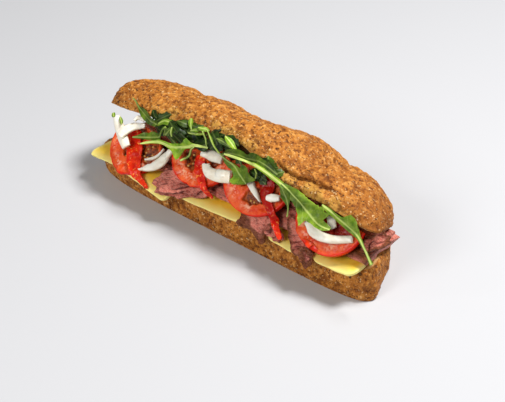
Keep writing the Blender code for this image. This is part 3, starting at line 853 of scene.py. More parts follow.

# %% [markdown]
# ## Roast beef
#
# Meat is bundles of fibre, so both its relief and its colour are noise that is stretched along the grain: pale
# fibres, dark strands between them, and a few short creases where the slice has torn. The point value `low` is
# painted shade in the pits and creases and round the rim of a torn slice. `brown` is partly the rim, where the
# roast's outside was, and partly painted shade on the pieces that lie in shadow.


# %% Beef material
def beef_material():
    """Two reds, pale fibres and dark strands along the grain, painted shade in pits, and a brown rim, partly painted
    shade.
    """
    scatter = dict(Subsurface_Radius=(1.0, 0.3, 0.2), Subsurface_Weight=0.1, Subsurface_Scale=0.002)
    paint = Paint("beef_look", 0.45, Specular_IOR_Level=0.22, **scatter)
    broad = paint.ramp(paint.noise(9.0, 3.0, 0.6), 0.38, 0.62)
    fibre = paint.ramp(paint.noise(1.9, 4.0, 0.7, (1.0, 2.4, 2.4)), 0.36, 0.66)
    colour = paint.mix(broad, srgb(146, 50, 36), srgb(212, 110, 92))
    colour = paint.mix(paint.times(fibre, 0.6), colour, srgb(240, 174, 152))
    strand = paint.ramp(paint.noise(2.8, 3.0, 0.65, (1.0, 2.2, 2.2)), 0.37, 0.45, 0.6, 0.0)
    colour = paint.mix(strand, colour, srgb(96, 32, 22))
    # Painted shade in the pits, creases and rims of the meat.
    colour = paint.mix(paint.times(paint.value("low"), 0.9), colour, srgb(84, 26, 18))
    # The roast's brown outside, which also serves as painted shade on pieces in shadow.
    colour = paint.mix(paint.value("brown"), colour, paint.mix(fibre, srgb(60, 26, 10), srgb(140, 78, 36)))
    return paint.finish(colour, paint.noise(1.2, 4.0, 0.7, (1.0, 2.0, 2.0)), distance=0.4, strength=0.8)


def meat_relief(points, seed):
    """Fibres and tears in millimetres: noise stretched along the grain, and a few short creases."""
    fibre = noise(points * (0.4, 1.4, 1.4), 2.4, seed, 3)
    path = noise(points * (0.4, 1.0, 1.0), 9.0, seed + 5, 2)
    crease = np.clip(1.0 - np.abs(path) * 14.0, 0.0, 1.0) * smooth_step(noise(points, 9.0, seed + 6), 0.15, 0.5)
    return 0.52 * fibre - 0.9 * crease


print("deepest relief of meat:", meat_relief(np.random.default_rng(2).uniform(-50, 50, (20000, 3)), 3).min().round(2))

# %% [markdown]
# ### Folded beef
#
# Thin slices are folded to and fro into the opening, and only their front folds show. A cloth simulation would have
# to be stopped at just the right frame, so the fold is drawn instead: a line through knots at the front and the
# back of each layer, blurred into round turns, given a thickness and carried along the roll.


# %% Folded beef
def folded_beef(name, left, right, layers, pitch, seed):
    """A ribbon folded to and fro in the Y-Z plane and carried along X."""
    x = np.linspace(left, right, int(right - left) + 1)[:, None]
    bottom = BASE_THICK + 0.35 + 2.5 + 2.4
    ragged = 1.3 * lumps(x, 0.0, 19.0, seed)
    knots = []
    for layer in range(layers):
        z = bottom + layer * pitch + 0.02 * x + 0.5 * lumps(x, 9.0 * layer, 23.0, seed + 1)
        front = -28.5 + layer * pitch + 1.2 * lumps(x, 13.0 * layer, 17.0, seed + 2) + ragged
        ceiling = z + pitch + 2.6 - base_top(x)
        back = np.clip(HALF - 4.5 - ceiling / np.tan(LID_TILT), front + 6.0, 18.0)
        ends = (back, front) if layer % 2 == 0 else (front, back)
        knots += [(ends[0] + (ends[1] - ends[0]) * share, z) for share in (0.0, 0.33, 0.67, 1.0)]
        if layer < layers - 1:
            outward = -0.42 if layer % 2 == 0 else 0.42
            knots.append((ends[1] + outward * pitch, z + 0.5 * pitch))
    knots = np.stack([np.concatenate(np.broadcast_arrays(y, z), 1) for y, z in knots], 1)
    count = 46 * layers
    at = np.linspace(0.0, knots.shape[1] - 1.0, count)
    pick = np.clip(1.0 - np.abs(at[:, None] - np.arange(knots.shape[1])[None, :]), 0.0, None)
    middle = smoothing(count, 3.0) @ pick @ knots
    tangent = np.gradient(middle, axis=1)
    tangent /= np.linalg.norm(tangent, axis=-1, keepdims=True)
    normal = np.stack([-tangent[..., 1], tangent[..., 0]], -1)
    end = np.minimum(np.arange(count), np.arange(count)[::-1])
    half = 1.2 * np.sqrt(smooth_step(end, -1.0, 4.0))[None, :, None]
    loop = np.concatenate([middle - half * normal, (middle + half * normal)[:, ::-1]], 1)
    arc = np.concatenate([np.arange(count), np.arange(count)[::-1]])[None, :] * 1.0
    near_end = np.abs(2.0 * (x - left) / (right - left) - 1.0) ** 12
    wander = 2.2 * noise(places(arc, seed, 0.0), 9.0, seed, 2)
    rings = places(x + near_end * wander, loop[..., 0], loop[..., 1])
    relief = meat_relief(rings, seed)
    rings = rings + ring_normals(rings) * relief[..., None]
    heap.add(rings)
    # Brown patches: the roast's outside, mixed with painted shade on folds in shadow.
    brown = smooth_step(noise(rings, 22.0, seed + 3, 2), 0.05, 0.5)
    # low is painted shade in the pits and creases of the folds.
    make_piece(name, [stack(rings, low=smooth_step(-relief, 0.12, 0.6), brown=brown)], beef)


beef = beef_material()
folded_beef("beef_fold_1", -98.0, -38.0, 3, 5.4, 3)
folded_beef("beef_fold_2", -35.0, 33.0, 4, 5.4, 7)
folded_beef("beef_fold_3", 36.0, 110.0, 3, 5.4, 11)


# %% [markdown]
# ### Torn slices
#
# A few torn slices lie over the folds and hang over the crust. Their outline is a rounded square, and its radius
# wanders at three scales, so that the rim has bays, notches and crumbs. They go on the heap with a blur of 2.6 mm,
# which lets them follow the folds below.


# %% Torn slices of beef
def torn_slice(centre, half, turn_deg, ragged, seed, thick=1.3, stiff=EMPTY, brown_and_shade_from=1.2):
    """A slice in polar form. Half is its half size along and across, and brown_and_shade_from the reach where it
    turns brown, as the roast's outside and as painted shade.
    """
    reach, share = slice_profile(26, 0.05, 0.8)
    _, c, s = circle(200)
    place = places(9.0 * c, 9.0 * s, seed)
    bays = ragged * lumps(9.0 * c, 9.0 * s, 6.5, seed)
    notches, crumbs = 0.07 * noise(place, 2.0, seed, 3), 0.03 * noise(place, 0.5, seed + 1)
    outline = rounded_square(c, s, 3.4) * (1.0 + bays + notches + crumbs)
    across, along = half[0] * reach * outline * c, half[1] * reach * outline * s
    a = np.radians(turn_deg)
    u = centre[0] + across * np.cos(a) - along * np.sin(a)
    v = centre[1] + across * np.sin(a) + along * np.cos(a)
    place = places(u, v, seed)
    ripple = 0.8 * (1.0 + noise(place, 8.0, seed + 4)) * (0.2 + reach)
    grain = places(u * 0.8 + v * 0.6, v * 0.8 - u * 0.6, seed)
    relief = meat_relief(grain, seed) * (share > 0.5)
    rings = lay_rings(u, v, share, thick, 2.6, 8, stiff, ripple + relief)
    heap.add(rings)
    # Brown from this reach out: the roast's rim, pulled further in as painted shade on slices in shadow.
    brown = smooth_step(reach + 0.25 * noise(place, 6.0, seed + 9, 2), brown_and_shade_from, brown_and_shade_from + 0.35)
    # Painted shade in the pits and round the rim of the slice.
    low = smooth_step(-relief, 0.12, 0.6) + 0.5 * (np.abs(share - 0.5) < 0.45)
    return stack(rings, low=np.clip(low, 0, 1), brown=np.broadcast_to(brown * 0.9, u.shape))


def torn_beef(name, *slices):
    """One piece of one or more torn slices, laid in turn."""
    make_piece(name, [torn_slice(**slice) for slice in slices], beef)


torn_beef(
    "beef_1",
    dict(centre=(-35.5, -6.6), half=(19.5, 9.0), turn_deg=20.0, ragged=0.14, seed=2),
    dict(centre=(-35.0, -4.4), half=(18.5, 9.0), turn_deg=22.0, ragged=0.16, seed=3),
)
torn_beef(
    "beef_2",
    dict(centre=(29.0, -4.0), half=(13.0, 11.0), turn_deg=-8.0, ragged=0.2, seed=5, thick=2.0, brown_and_shade_from=0.5),
)
torn_beef(
    "beef_3",
    dict(centre=(61.0, -3.0), half=(13.0, 6.5), turn_deg=-40.0, ragged=0.22, seed=8, thick=2.0, brown_and_shade_from=0.55),
    dict(centre=(74.0, -12.0), half=(5.0, 4.4), turn_deg=-60.0, ragged=0.25, seed=9, thick=1.4, brown_and_shade_from=0.2),
    dict(centre=(47.0, -8.0), half=(6.0, 4.0), turn_deg=-20.0, ragged=0.3, seed=10, thick=1.2, brown_and_shade_from=1.1),
)
# Beef_4 browns from half its reach, which is painted shade on the part that lies in shadow.
torn_beef(
    "beef_4",
    dict(centre=(110.0, 14.2), half=(9.6, 5.2), turn_deg=42.0, ragged=0.24, seed=12, thick=1.6, stiff=41.0,
         brown_and_shade_from=0.55),
)

# %% [markdown]
# ## Tomato
#
# A half round leans on the meat with its cut side under the lid. Seen from the front, a tomato slice is an outer
# wall, a few walls that run inwards to a core, and seed pockets between them. The pockets are sunk, dark and wet,
# with small pale seeds. All of it is worked out from the polar place (r, q) on the slice, so that each pocket is
# given by its direction, its half width and its reach. A painted texture could show the same, but these pockets are
# real hollows. A wide blur on the heap keeps the slice stiff.


# %% Tomato material
def tomato_material():
    """Orange red flesh, pale streaks of pale flesh and painted wet highlight, skin at the rim, dark pockets with pale
    seeds, and a deep red middle painted as shade.
    """
    scatter = dict(Subsurface_Radius=(1.0, 0.3, 0.1), Subsurface_Weight=0.12, Subsurface_Scale=0.003)
    paint = Paint("tomato_look", 0.26, Specular_IOR_Level=0.25, **scatter)
    patch = paint.ramp(paint.noise(5.0, 4.0, 0.65), 0.36, 0.64)
    flesh = paint.mix(patch, srgb(222, 58, 14), srgb(246, 108, 44))
    # Pale streaks on the middle of the wall: pale flesh with a painted wet highlight.
    streak = paint.ramp(paint.noise(2.4, 3.0, 0.6), 0.44, 0.6)
    colour = paint.mix(paint.times(paint.value("pith"), streak), flesh, srgb(255, 186, 150))
    colour = paint.mix(paint.value("skin"), colour, srgb(226, 38, 12))
    pocket = paint.mix(paint.ramp(paint.noise(2.6, 3.0, 0.6), 0.4, 0.62), srgb(60, 14, 4), srgb(176, 84, 34))
    colour = paint.mix(paint.value("gel"), colour, pocket)
    colour = paint.mix(paint.value("seed"), colour, srgb(216, 168, 92))
    # Painted shade: a deep red middle where onion and leaves shade the slice.
    colour = paint.mix(paint.value("deep"), colour, srgb(150, 14, 8))
    return paint.finish(colour, paint.noise(1.5, 3.0, 0.6), distance=0.35, strength=0.6)


# %% Seed pockets
def seed_pockets(r, q, place, pockets, seed):
    """How much each point lies in a pocket. A pocket is its direction and half width in degrees, and its reach."""
    gel = 0.0
    ragged = 0.25 * noise(place, 4.0, seed + 2, 2)
    for direction, half, reach in pockets:
        off = np.abs((q - np.radians(direction) + np.pi) % (2.0 * np.pi) - np.pi) - np.radians(half)
        window = 1.0 - smooth_step(off * r + 0.16 * ragged, -0.04, 0.04)
        radial = smooth_step(r, 0.2, 0.28) * (1.0 - smooth_step(r + 0.2 * ragged, reach - 0.03, reach + 0.03))
        gel = np.maximum(gel, window * radial)
    return gel


# %% Half rounds
def tomato_half(name, centre, radius, keep, seed, pockets, dark=0.0):
    """A round slice whose upper side is cut down to the share keep. Dark is how strongly its middle is painted deep
    red, as shade.
    """
    reach, share = slice_profile(46, 0.03, 0.9)
    turn, edge_x, edge_y = circle(260)
    edge_y = np.where(edge_y > 0.0, edge_y * max(keep, 0.02), edge_y)
    wobble = 1.0 + 0.015 * np.sin(3.0 * turn + seed)
    middle = -0.4 * (1.0 - keep)
    x = reach * edge_x * wobble
    y = middle + reach * (edge_y * wobble - middle)
    r, q = np.hypot(x, y), np.arctan2(y, x)
    place = places(x * radius, y * radius, 9.0 * seed)
    gel = seed_pockets(r, q, place, pockets, seed)
    cell = place[..., :2] / 2.7
    spot = np.hypot(*np.moveaxis(cell - np.floor(cell) - 0.5, -1, 0))
    chosen = lattice(np.concatenate([np.floor(cell), 0 * cell[..., :1] + seed], -1).astype(np.int64), seed) > 0.55
    seeds = gel * chosen * (1.0 - smooth_step(spot, 0.2, 0.32))
    top = share > 0.9
    u, v = centre[0] + radius * x, centre[1] + radius * y
    relief = 0.16 * noise(place, 3.0, seed + 5, 2) + top * (0.7 * seeds - 2.0 * gel)
    rings = lay_rings(u, v, share, 4.2, 9.0, 30, lift=relief)
    heap.add(rings)
    rim = smooth_step(r * (y < 0.02), 0.945, 0.985)
    # A pale band in the middle of the wall, part pale flesh and part painted wet highlight.
    pith = bell(r, 0.76, 0.11) * smooth_step(noise(place, 5.0, seed + 8, 2), -0.5, 0.4)
    # Painted shade in the middle of the slice, under onion and leaves.
    deep = dark * (1.0 - smooth_step(r, 0.62, 0.8)) * np.ones_like(r)
    pith = pith * (1.0 - gel) * (1.0 - rim)
    body = stack(rings, gel=gel * top, seed=seeds * top, skin=rim, pith=pith, deep=deep)
    make_piece(name, [body], tomato)


tomato = tomato_material()
tomato_half("tomato_1", (-82.5, 4.0), 21.0, 0.7, 1, ((-2, 30, 0.86), (95, 30, 0.6), (-128, 18, 0.5)))
tomato_half("tomato_2", (-28.0, 19.0), 24.0, 0.3, 2, ((-128, 36, 0.6), (-62, 16, 0.5), (-8, 18, 0.6)))
# Tomato_4 lies under onion and leaves and gets painted shade in its middle.
tomato_half("tomato_4", (79.0, 17.0), 25.0, 0.0, 4, ((-150, 20, 0.6), (-95, 22, 0.55), (-30, 26, 0.7)), 0.9)
tomato_half("tomato_3", (19.0, 19.0), 25.0, 0.3, 3, ((-66, 40, 0.66), (-158, 20, 0.5), (-4, 20, 0.7)))

# %% [markdown]
# ## Roasted pepper
#
# Roasting makes the strips limp and glossy, so they take a narrow blur on the heap and a low roughness. Their rims
# curl up a little, and the skin runs from deep red to orange where it blistered; the bright orange spots are also
# painted glints. Each strip is a path down the slope with a list of widths, which is quicker to match to a photo
# than moving points by hand.


# %% Pepper material
def pepper_material():
    """Two reds with orange blisters, which are also painted glints."""
    scatter = dict(Subsurface_Radius=(1.0, 0.2, 0.1), Subsurface_Weight=0.1, Subsurface_Scale=0.002)
    paint = Paint("pepper_look", 0.24, Specular_IOR_Level=0.22, **scatter)
    patch = paint.ramp(paint.noise(7.0, 3.0, 0.6), 0.4, 0.62)
    colour = paint.mix(patch, srgb(204, 20, 8), srgb(242, 54, 16))
    # Orange blisters, bright enough to be painted glints as well.
    blister_and_glint = paint.ramp(paint.noise(2.2, 2.0, 0.6), 0.58, 0.66)
    colour = paint.mix(blister_and_glint, colour, srgb(255, 146, 58))
    colour = paint.mix(paint.value("dark"), colour, srgb(150, 8, 8))
    return paint.finish(colour, paint.noise(2.8, 3.0, 0.6), distance=0.8, strength=0.8)


# %% Pepper strips
def pepper_strip(name, path, widths, seed, dark=0.0):
    """A flat cross-section along the path. Its ends are rounded by sqrt, and its rims lift by half of side^2."""
    line, _, left, share_along = midline(path, 0.7)
    side, share = section(44, 0.6)
    place = places(share_along * 60.0, seed, 0.0)
    width = along_widths(share_along, widths) * (1.0 + 0.16 * noise(place, 7.0, seed, 2))
    blunt = np.sqrt(smooth_step(np.minimum(share_along, 1 - share_along), -0.005, 0.035))
    u, v = beside(line, left, side, (0.5 * width * blunt)[:, None])
    place = places(u, v, seed)
    lift = 0.5 * side**2 + 0.55 * noise(place, 5.0, seed + 3, 2)
    rings = lay_rings(u, v, share, 1.8, 1.6, 5, lift=lift)
    heap.add(rings)
    make_piece(name, [stack(rings, dark=dark * (1 - share_along[:, None]))], pepper)


pepper = pepper_material()
pepper_strip(
    "pepper_1",
    ((-87.5, 14), (-83.5, 7), (-80, -1), (-74.5, -9), (-68.6, -14.8), (-58, -18.6)),
    (7, 9, 11, 11, 9, 6, 4, 2.4),
    seed=1,
)
pepper_strip("pepper_2", ((-28, 17), (-24, 8.6), (-18.4, 2.2), (-10.4, -5)), (6, 8, 8, 6, 4, 2.4), seed=2)
pepper_strip(
    "pepper_3",
    ((26, 21), (28.5, 14.6), (32.5, 8.6), (39, 3.4), (44, -3.4), (53, -10)),
    (10, 10.5, 9, 7, 5.2, 4.4, 3.6, 2.4),
    seed=3,
    dark=1.0,
)

# %% [markdown]
# ## Onion
#
# A piece of onion is a band cut from a curved scale. It is stiff, so it bridges what lies below, and its faces are
# flat with sharp edges. White onion lets light in, so its shader scatters more light under the surface than the
# other foods do. The bands share the strip's tools: only the section is squarer and the blur wider.


# %% Onion material
def onion_material():
    """Near white with faint lines along the band, a little darker at its rims."""
    scatter = dict(Subsurface_Radius=(1.0, 0.9, 0.8), Subsurface_Weight=0.3, Subsurface_Scale=0.003)
    paint = Paint("onion_look", 0.26, Specular_IOR_Level=0.45, **scatter)
    line = paint.ramp(paint.noise(7.0, 2.0, 0.5, (1.0, 1.6, 1.6)), 0.4, 0.66)
    colour = paint.mix(line, srgb(250, 244, 228), srgb(234, 222, 200))
    colour = paint.mix(paint.value("edge"), colour, srgb(226, 216, 190))
    return paint.finish(colour, paint.noise(3.0, 2.0), distance=0.1, strength=0.2)


# %% Onion bands
def onion_band(path, widths, thick, seed, stiff=EMPTY):
    """A thick cross-section along the path, whose upper face is raised by half of 1 - side^2."""
    line, _, left, share_along = midline(path, 0.5)
    side, share = section(40, 0.35)
    u, v = beside(line, left, side, (0.5 * along_widths(share_along, widths))[:, None])
    place = places(u, v, seed)
    lift = 0.5 * (1.0 - side**2) + 0.1 * noise(place, 4.0, seed)
    rings = lay_rings(u, v, share, thick, 4.0, 12, stiff, lift)
    heap.add(rings)
    return stack(rings, edge=smooth_step(np.abs(side), 0.75, 1.0))


def onion_piece(name, *bands):
    """One piece of one or more bands, laid in turn."""
    make_piece(name, [onion_band(*band) for band in bands], onion)


onion = onion_material()
onion_piece("onion_left", (((-101, 15.5), (-94, 9.4), (-88, 4.3), (-82.4, 0.0)), (5, 7, 7.5, 6), 2.6, 1, 55.0))
onion_piece(
    "onion_branch",
    (((-88.8, 4.6), (-87.6, 10.2), (-83.4, 14.8), (-76, 18)), (5.5, 6.5, 6, 4.6, 3), 2.2, 2, 55.0),
    (((-83.6, 17.8), (-82.9, 21.8), (-76.6, 21.4)), (2.0, 3.0, 3.0), 1.6, 12, 56.0),
)
onion_piece("onion_thin", (((-69, -2), (-63.5, 1), (-60.7, 4.4), (-59.4, 10.2)), (1.4, 2.4, 2.4, 1.2), 2.0, 3))
onion_piece("onion_long", (((-68, -10), (-57, -1.5), (-49.6, 11)), (0.8, 4.5, 7, 7.5, 6, 3), 2.6, 4))
onion_piece("onion_middle", (((-26.5, 18.2), (-10.5, 20.4)), (4.5, 7.5, 7), 2.6, 5))
onion_piece("onion_curl", (((-19, 13), (-15, 8), (-6, 9), (3, 12)), (5, 7.5, 8.5, 8.5), 3.2, 6))
onion_piece("onion_small_1", (((16.5, 14.5), (22, 10.5), (30, 6)), (5.5, 4.5, 3, 0.8), 2.2, 7))
onion_piece("onion_small_2", (((33, 10), (42, 13.5)), (3.5, 5.5, 5, 3.5), 2.4, 8))
onion_piece("onion_pale", (((78, 17), (85, 11)), (4, 6, 4), 2.0, 9))
onion_piece("onion_large", (((67, 8), (75, 2), (88, 4), (100, 10)), (5, 7, 6, 5, 4.5), 3.6, 10))

# %% [markdown]
# ## Rocket
#
# A rocket leaf is a long midrib with lobes on both sides. Its two edges are lists of places that are spaced evenly
# along the rib. An entry is either a half width, set off square to the rib and a little towards the tip, or the
# exact place (u, v) of a lobe. The blade rises from the rib in a shallow V and its rim ruffles. Leaves are laid
# last, when the lid is in the heap too, so that some of them lie over its rim. The point value `young` is partly
# the leaf's own tone and partly painted light and shade: it is low for the dark leaves in the shade under the rim,
# high for the lit ones on top, and it also dims the veins of shaded leaves. `vein` is the rib and the side veins.


# %% Rocket material
def rocket_material():
    """A dark green and a light one, mixed by the leaf's own tone and by painted shade and light, with pale veins."""
    scatter = dict(Subsurface_Radius=(0.5, 1.0, 0.2), Subsurface_Weight=0.08, Subsurface_Scale=0.002)
    paint = Paint("rocket_look", 0.36, Specular_IOR_Level=0.2, **scatter)
    patch = paint.ramp(paint.noise(5.0, 3.0, 0.6), 0.38, 0.62)
    dark = paint.mix(patch, srgb(6, 16, 5), srgb(22, 50, 12))
    light = paint.mix(patch, srgb(120, 164, 30), srgb(176, 208, 58))
    # The mix is partly the leaf's own tone, partly painted shade under the rim and painted light on top.
    colour = paint.mix(paint.value("young"), dark, light)
    colour = paint.mix(paint.value("vein"), colour, srgb(222, 236, 136))
    return paint.finish(colour, paint.noise(1.8, 3.0), distance=0.25, strength=0.5)


# %% The edges of a leaf
def leaf_edge(line, way, left, share_along, entries, sign, lean):
    """How far the edge lies from the rib, as (du, dv) for each place along it."""
    at = np.linspace(0.0, 1.0, len(entries))
    rib, ahead, aside = (
        np.stack([np.interp(at, share_along, field[:, k]) for k in (0, 1)], -1) for field in (line, way, left)
    )
    off = []
    for k, entry in enumerate(entries):
        if np.ndim(entry):
            off.append(np.array(entry) - rib[k])
        else:
            slant = np.radians(lean) * smooth_step(entry, 1.0, 4.0)
            off.append(entry * (sign * np.cos(slant) * aside[k] + np.sin(slant) * ahead[k]))
    off = np.array(off)
    return smoothing(len(line), 1.2) @ np.stack([np.interp(share_along, at, off[:, k]) for k in (0, 1)], -1)


# %% One leaf
def rocket_leaf(path, left, right, stiff, seed, young=0.3, lean=28.0, fold=0.2, rib=0.3):
    """One leaf as a closed body, from its stalk to its tip. Left and right list its edges. A point at the distance
    d from the rib is lifted by fold times d, and by noise that grows with d."""
    line, way, aside, s = midline(path, 0.55)
    side, share = section(60, 0.2)
    off_left = leaf_edge(line, way, aside, s, left, 1.0, lean)
    off_right = leaf_edge(line, way, aside, s, right, -1.0, lean)
    off = np.where((side > 0)[..., None], off_left[:, None], off_right[:, None]) * np.abs(side)[..., None]
    wide = np.hypot(off[..., 0], off[..., 1])
    teeth = noise(places(s * 90, seed, 0.0), 2.0, seed)[:, None]
    jag = 1.0 + 0.09 * teeth * smooth_step(wide, 1.0, 3.0)
    u = line[:, :1] + off[..., 0] * jag
    v = line[:, 1:] + off[..., 1] * jag
    place = places(u, v, 5.0 * seed)
    ruffle = 0.16 * wide * noise(place, 7.0, seed + 1) + 0.12 * wide * noise(place, 3.5, seed + 2)
    lift = fold * wide + ruffle
    lift = lift - lift.min(1, keepdims=True)
    on_rib = 1.0 - smooth_step(wide, rib, rib + 0.3)
    veins = np.abs(np.sin(np.pi * (s[:, None] * 7.0 - 0.10 * wide + 0.5 * (side > 0))))
    vein = np.clip(on_rib + 0.3 * (1.0 - smooth_step(veins, 0.04, 0.16)) * (wide > 0.8), 0.0, 1.0)
    lift = lift + np.where(share > 0.5, 0.2 * on_rib, 0.0)
    rings = lay_rings(u, v, share, 0.5, 1.4, 4, stiff, lift)
    heap.add(rings)
    # Tone: partly the leaf's own colour, partly painted shade for leaves under the rim and painted light for those on
    # top.
    tone = np.clip(young * (1.0 + 0.6 * noise(place, 9.0, seed + 4)), 0.0, 1.0)
    return stack(rings, vein=vein * (0.05 + 0.95 * young), young=tone)


# %% Small leaves and tangles
def small_leaf(path, widths, stiff, seed, young=0.3):
    """A narrow leaf or a bare stalk whose two edges are alike. It lies nearly flat."""
    return dict(path=path, left=widths, right=widths, stiff=stiff, seed=seed, young=young, rib=0.2, fold=0.08)


def tangle(low, high, count, seed, stiff, young):
    """Short crumpled leaves that lie across each other between two corners of the slope, in seeded places."""
    random = np.random.default_rng(seed)
    leaves = []
    for k in range(count):
        middle = random.uniform(low, high)
        turn = random.uniform(-0.7, 0.9)
        reach = random.uniform(4.0, 7.5) * np.array([np.cos(turn), np.sin(turn)])
        bend = random.uniform(-1.5, 1.5, 2)
        wide = random.uniform(2.6, 5.0)
        path = (tuple(middle - reach), tuple(middle + bend), tuple(middle + reach))
        widths = (0.6, 0.7 * wide, wide, 0.6 * wide, 0.9 * wide, 0.4 * wide, 0.4)
        # Tangles take a low tone: painted shade on the mass under the rim.
        leaves.append(small_leaf(path, widths, stiff, seed + k, young * random.uniform(0.0, 3.0)))
    return leaves


def rocket(name, *leaves):
    """One piece of one or more leaves, laid in turn."""
    make_piece(name, [rocket_leaf(**leaf) for leaf in leaves], rocket_green)


# %% [markdown]
# ### Rocket on the left
#
# Under the rim lies a mass of small leaves, painted dark as shade, that no one could tell apart, so they are
# scattered by a seeded choice. The leaves on top of it are drawn one by one, along the ribs and lobes that can be
# seen.

# %% Rocket on the left
rocket_green = rocket_material()
heap.add(lid_rings)
rocket(
    "rocket_1",
    *tangle((-72, 18), (-40, 28), 13, 40, 53.0, 0.04),
    dict(path=((-45.5, 26.2), (-49.5, 26.8), (-53.5, 27.0), (-58, 26.4), (-61, 23.6), (-63.3, 20.6)),
         left=(0.6, 2.0, 2.8, 3.0, 2.4, 1.4, 0.4), right=(0.6, 1.2, 1.6, 1.8, 1.4, 0.8, 0.4),
         stiff=59.0, seed=24, young=0.34),
)
rocket(
    "rocket_2",
    *tangle((-50, 22.5), (-20, 32), 15, 60, 54.0, 0.03),
    small_leaf(((-33.7, 28.2), (-36.8, 31.6), (-39.6, 35.0)), (0.4, 0.8, 1.5, 1.6, 0.9), 60.0, 71, 0.34),
    small_leaf(((-25.1, 29.9), (-29.8, 27.0), (-34.7, 25.7)), (0.4, 0.9, 1.0, 0.8, 0.3), 59.0, 72, 0.5),
    small_leaf(((-27.3, 31.1), (-30.4, 29.2), (-33.5, 27.4)), (0.5, 1.2, 1.6, 1.2, 0.3), 59.0, 73, 0.26),
    small_leaf(((-51.4, 22.6), (-53.4, 21.2), (-55.6, 17.6)), (0.5, 1.2, 1.6, 1.2, 0.4), 58.0, 80, 0.25),
    small_leaf(((-47, 24.3), (-48.5, 21.3), (-51.7, 18.2)), (0.5, 1.6, 2.0, 1.4, 0.4), 58.0, 81, 0.22),
    small_leaf(((-46.8, 24.4), (-46.4, 21.6), (-45.3, 19)), (0.5, 0.9, 0.9, 0.9, 0.5), 58.5, 82, 0.45),
)
rocket(
    "rocket_3",
    dict(path=((-51.4, 22.8), (-53.9, 19.7), (-56.8, 17.3), (-61.3, 15.2), (-67.1, 12.6), (-74.3, 10), (-80.3, 7.6)),
         left=(0.8, (-55, 18.4), (-57.2, 15), (-60, 13), (-63.6, 11.8), (-67, 10.8), (-70.4, 9.8), (-73.7, 9),
               (-77.4, 7.9), 0.4),
         right=(0.8, (-52.9, 22.3), (-55.2, 19.6), (-59.7, 17.5), (-63.3, 18.2), (-66.6, 17.3), (-69.5, 15),
                (-73.2, 14), (-76.9, 10.6), 0.4),
         stiff=57.5, seed=4, young=0.3),
)
rocket(
    "rocket_4",
    dict(path=((-61.5, 21.8), (-68.9, 22.8), (-75.8, 24.3), (-82.3, 26.6), (-85.7, 27.7), (-89.6, 30.5),
               (-93.7, 31.6)),
         left=(1.8, (-67.0, 20.0), (-73.1, 20.4), (-77.3, 22), (-80.6, 23.4), (-84, 26), 0.6, 0.5, 0.3),
         right=(1.8, (-66.4, 24.2), (-71.4, 25.5), (-75.6, 27.1), (-79.2, 28.3), (-82.6, 28.2), 0.6, 0.5, 0.3),
         stiff=59.0, seed=5, young=0.18),
    small_leaf(((-103.4, 17.0), (-101.4, 14.4)), (1.0, 1.6, 1.0), 58.0, 74, 0.5),
    small_leaf(((-97.0, 16.4), (-91.6, 12.0)), (0.6, 1.3, 1.3, 0.6), 57.5, 75, 0.5),
)
rocket(
    "rocket_5",
    dict(path=((-20.1, 22.7), (-26.6, 20.6), (-31.3, 19), (-40.1, 15.7), (-48.4, 12.4), (-52.5, 13), (-56.9, 12.8),
               (-62.3, 10.9), (-67.2, 8.1), (-71, 5.8)),
         left=(0.6, 0.6, 0.7, 0.7, 0.8, 1.0, 1.2, (-34.4, 16.9), (-36.8, 15.2), (-37.2, 12), (-36.4, 7.6),
               (-38.2, 6.2), (-41.2, 7.8), (-44.6, 10.2), (-48.4, 11.2), 1.2, 1.0, 1.0, 1.2, 1.3, 1.3, 1.2, 1.1,
               1.0, 0.8, 0.6, 0.3),
         right=(0.6, 0.8, 0.9, (-31.6, 21), (-35, 22.8), (-38.4, 19.4), (-42.6, 16.9), (-47.4, 15.4), (-52.2, 14.9),
                (-57, 13.9), (-61.5, 12.2), (-65, 10.3), 0.7, 0.3),
         stiff=59.5, seed=6, young=0.7, rib=0.75),
    small_leaf(((-27, 19), (-30.8, 15.9), (-33.6, 11.2), (-35, 7)), (0.4, 0.7, 0.9, 0.8, 0.4), 57.0, 76, 0.5),
)

# %% [markdown]
# ### Rocket in the middle
#
# A long dark leaf lies along the rim, a lobed one hangs over the onion, and two stalks cross from the left. Each
# is laid on the heap in turn, so the order of these calls is the order in which the leaves overlap.

# %% Rocket in the middle
rocket(
    "rocket_6",
    *tangle((-18, 26), (8, 33), 12, 80, 57.0, 0.04),
    small_leaf(((-0.3, 28.4), (-2.1, 29.2), (-7, 30), (-11.5, 30)), (0.4, 1.0, 1.8, 1.6, 0.5), 59.5, 83, 0.2),
    small_leaf(((4.7, 27.4), (1.6, 29.6), (-2.5, 31.8), (-7, 33.6)), (0.4, 0.8, 1.4, 2.0, 2.0, 1.4, 0.4), 60.5, 77,
               0.56),
)
rocket(
    "rocket_7",
    *tangle((8, 17), (26, 22), 5, 95, 53.0, 0.04),
    *tangle((24, 26), (40, 31), 5, 90, 54.0, 0.05),
    dict(path=((-8.4, 22.6), (-2.9, 25.2), (2.8, 26.4), (8.6, 27.1), (14.2, 28.4), (20.3, 28.5), (30, 27.9),
               (38.9, 25.7)),
         left=(0.4, 0.8, (-2.4, 26.8), (0.6, 28), (3.4, 29.4), (6.6, 30), (9.6, 29.7), (11, 29.7), (13.2, 32),
               (17, 32.2), (20.9, 31.5), (24.4, 30.6), (27.6, 30.4), (30.6, 30), (33.6, 29), (36.8, 27.4), 0.4),
         right=(0.4, 0.6, 0.8, (1, 24.6), (4, 25), (7, 25.4), (10, 25.6), (13, 25.8), (16, 25.8), (19, 25.7),
                (22, 25.6), (25, 25.3), (28, 25), (31, 24.6), (34, 24), (37, 23.4), 0.4),
         stiff=59.0, seed=8, young=0.2, rib=0.2),
)
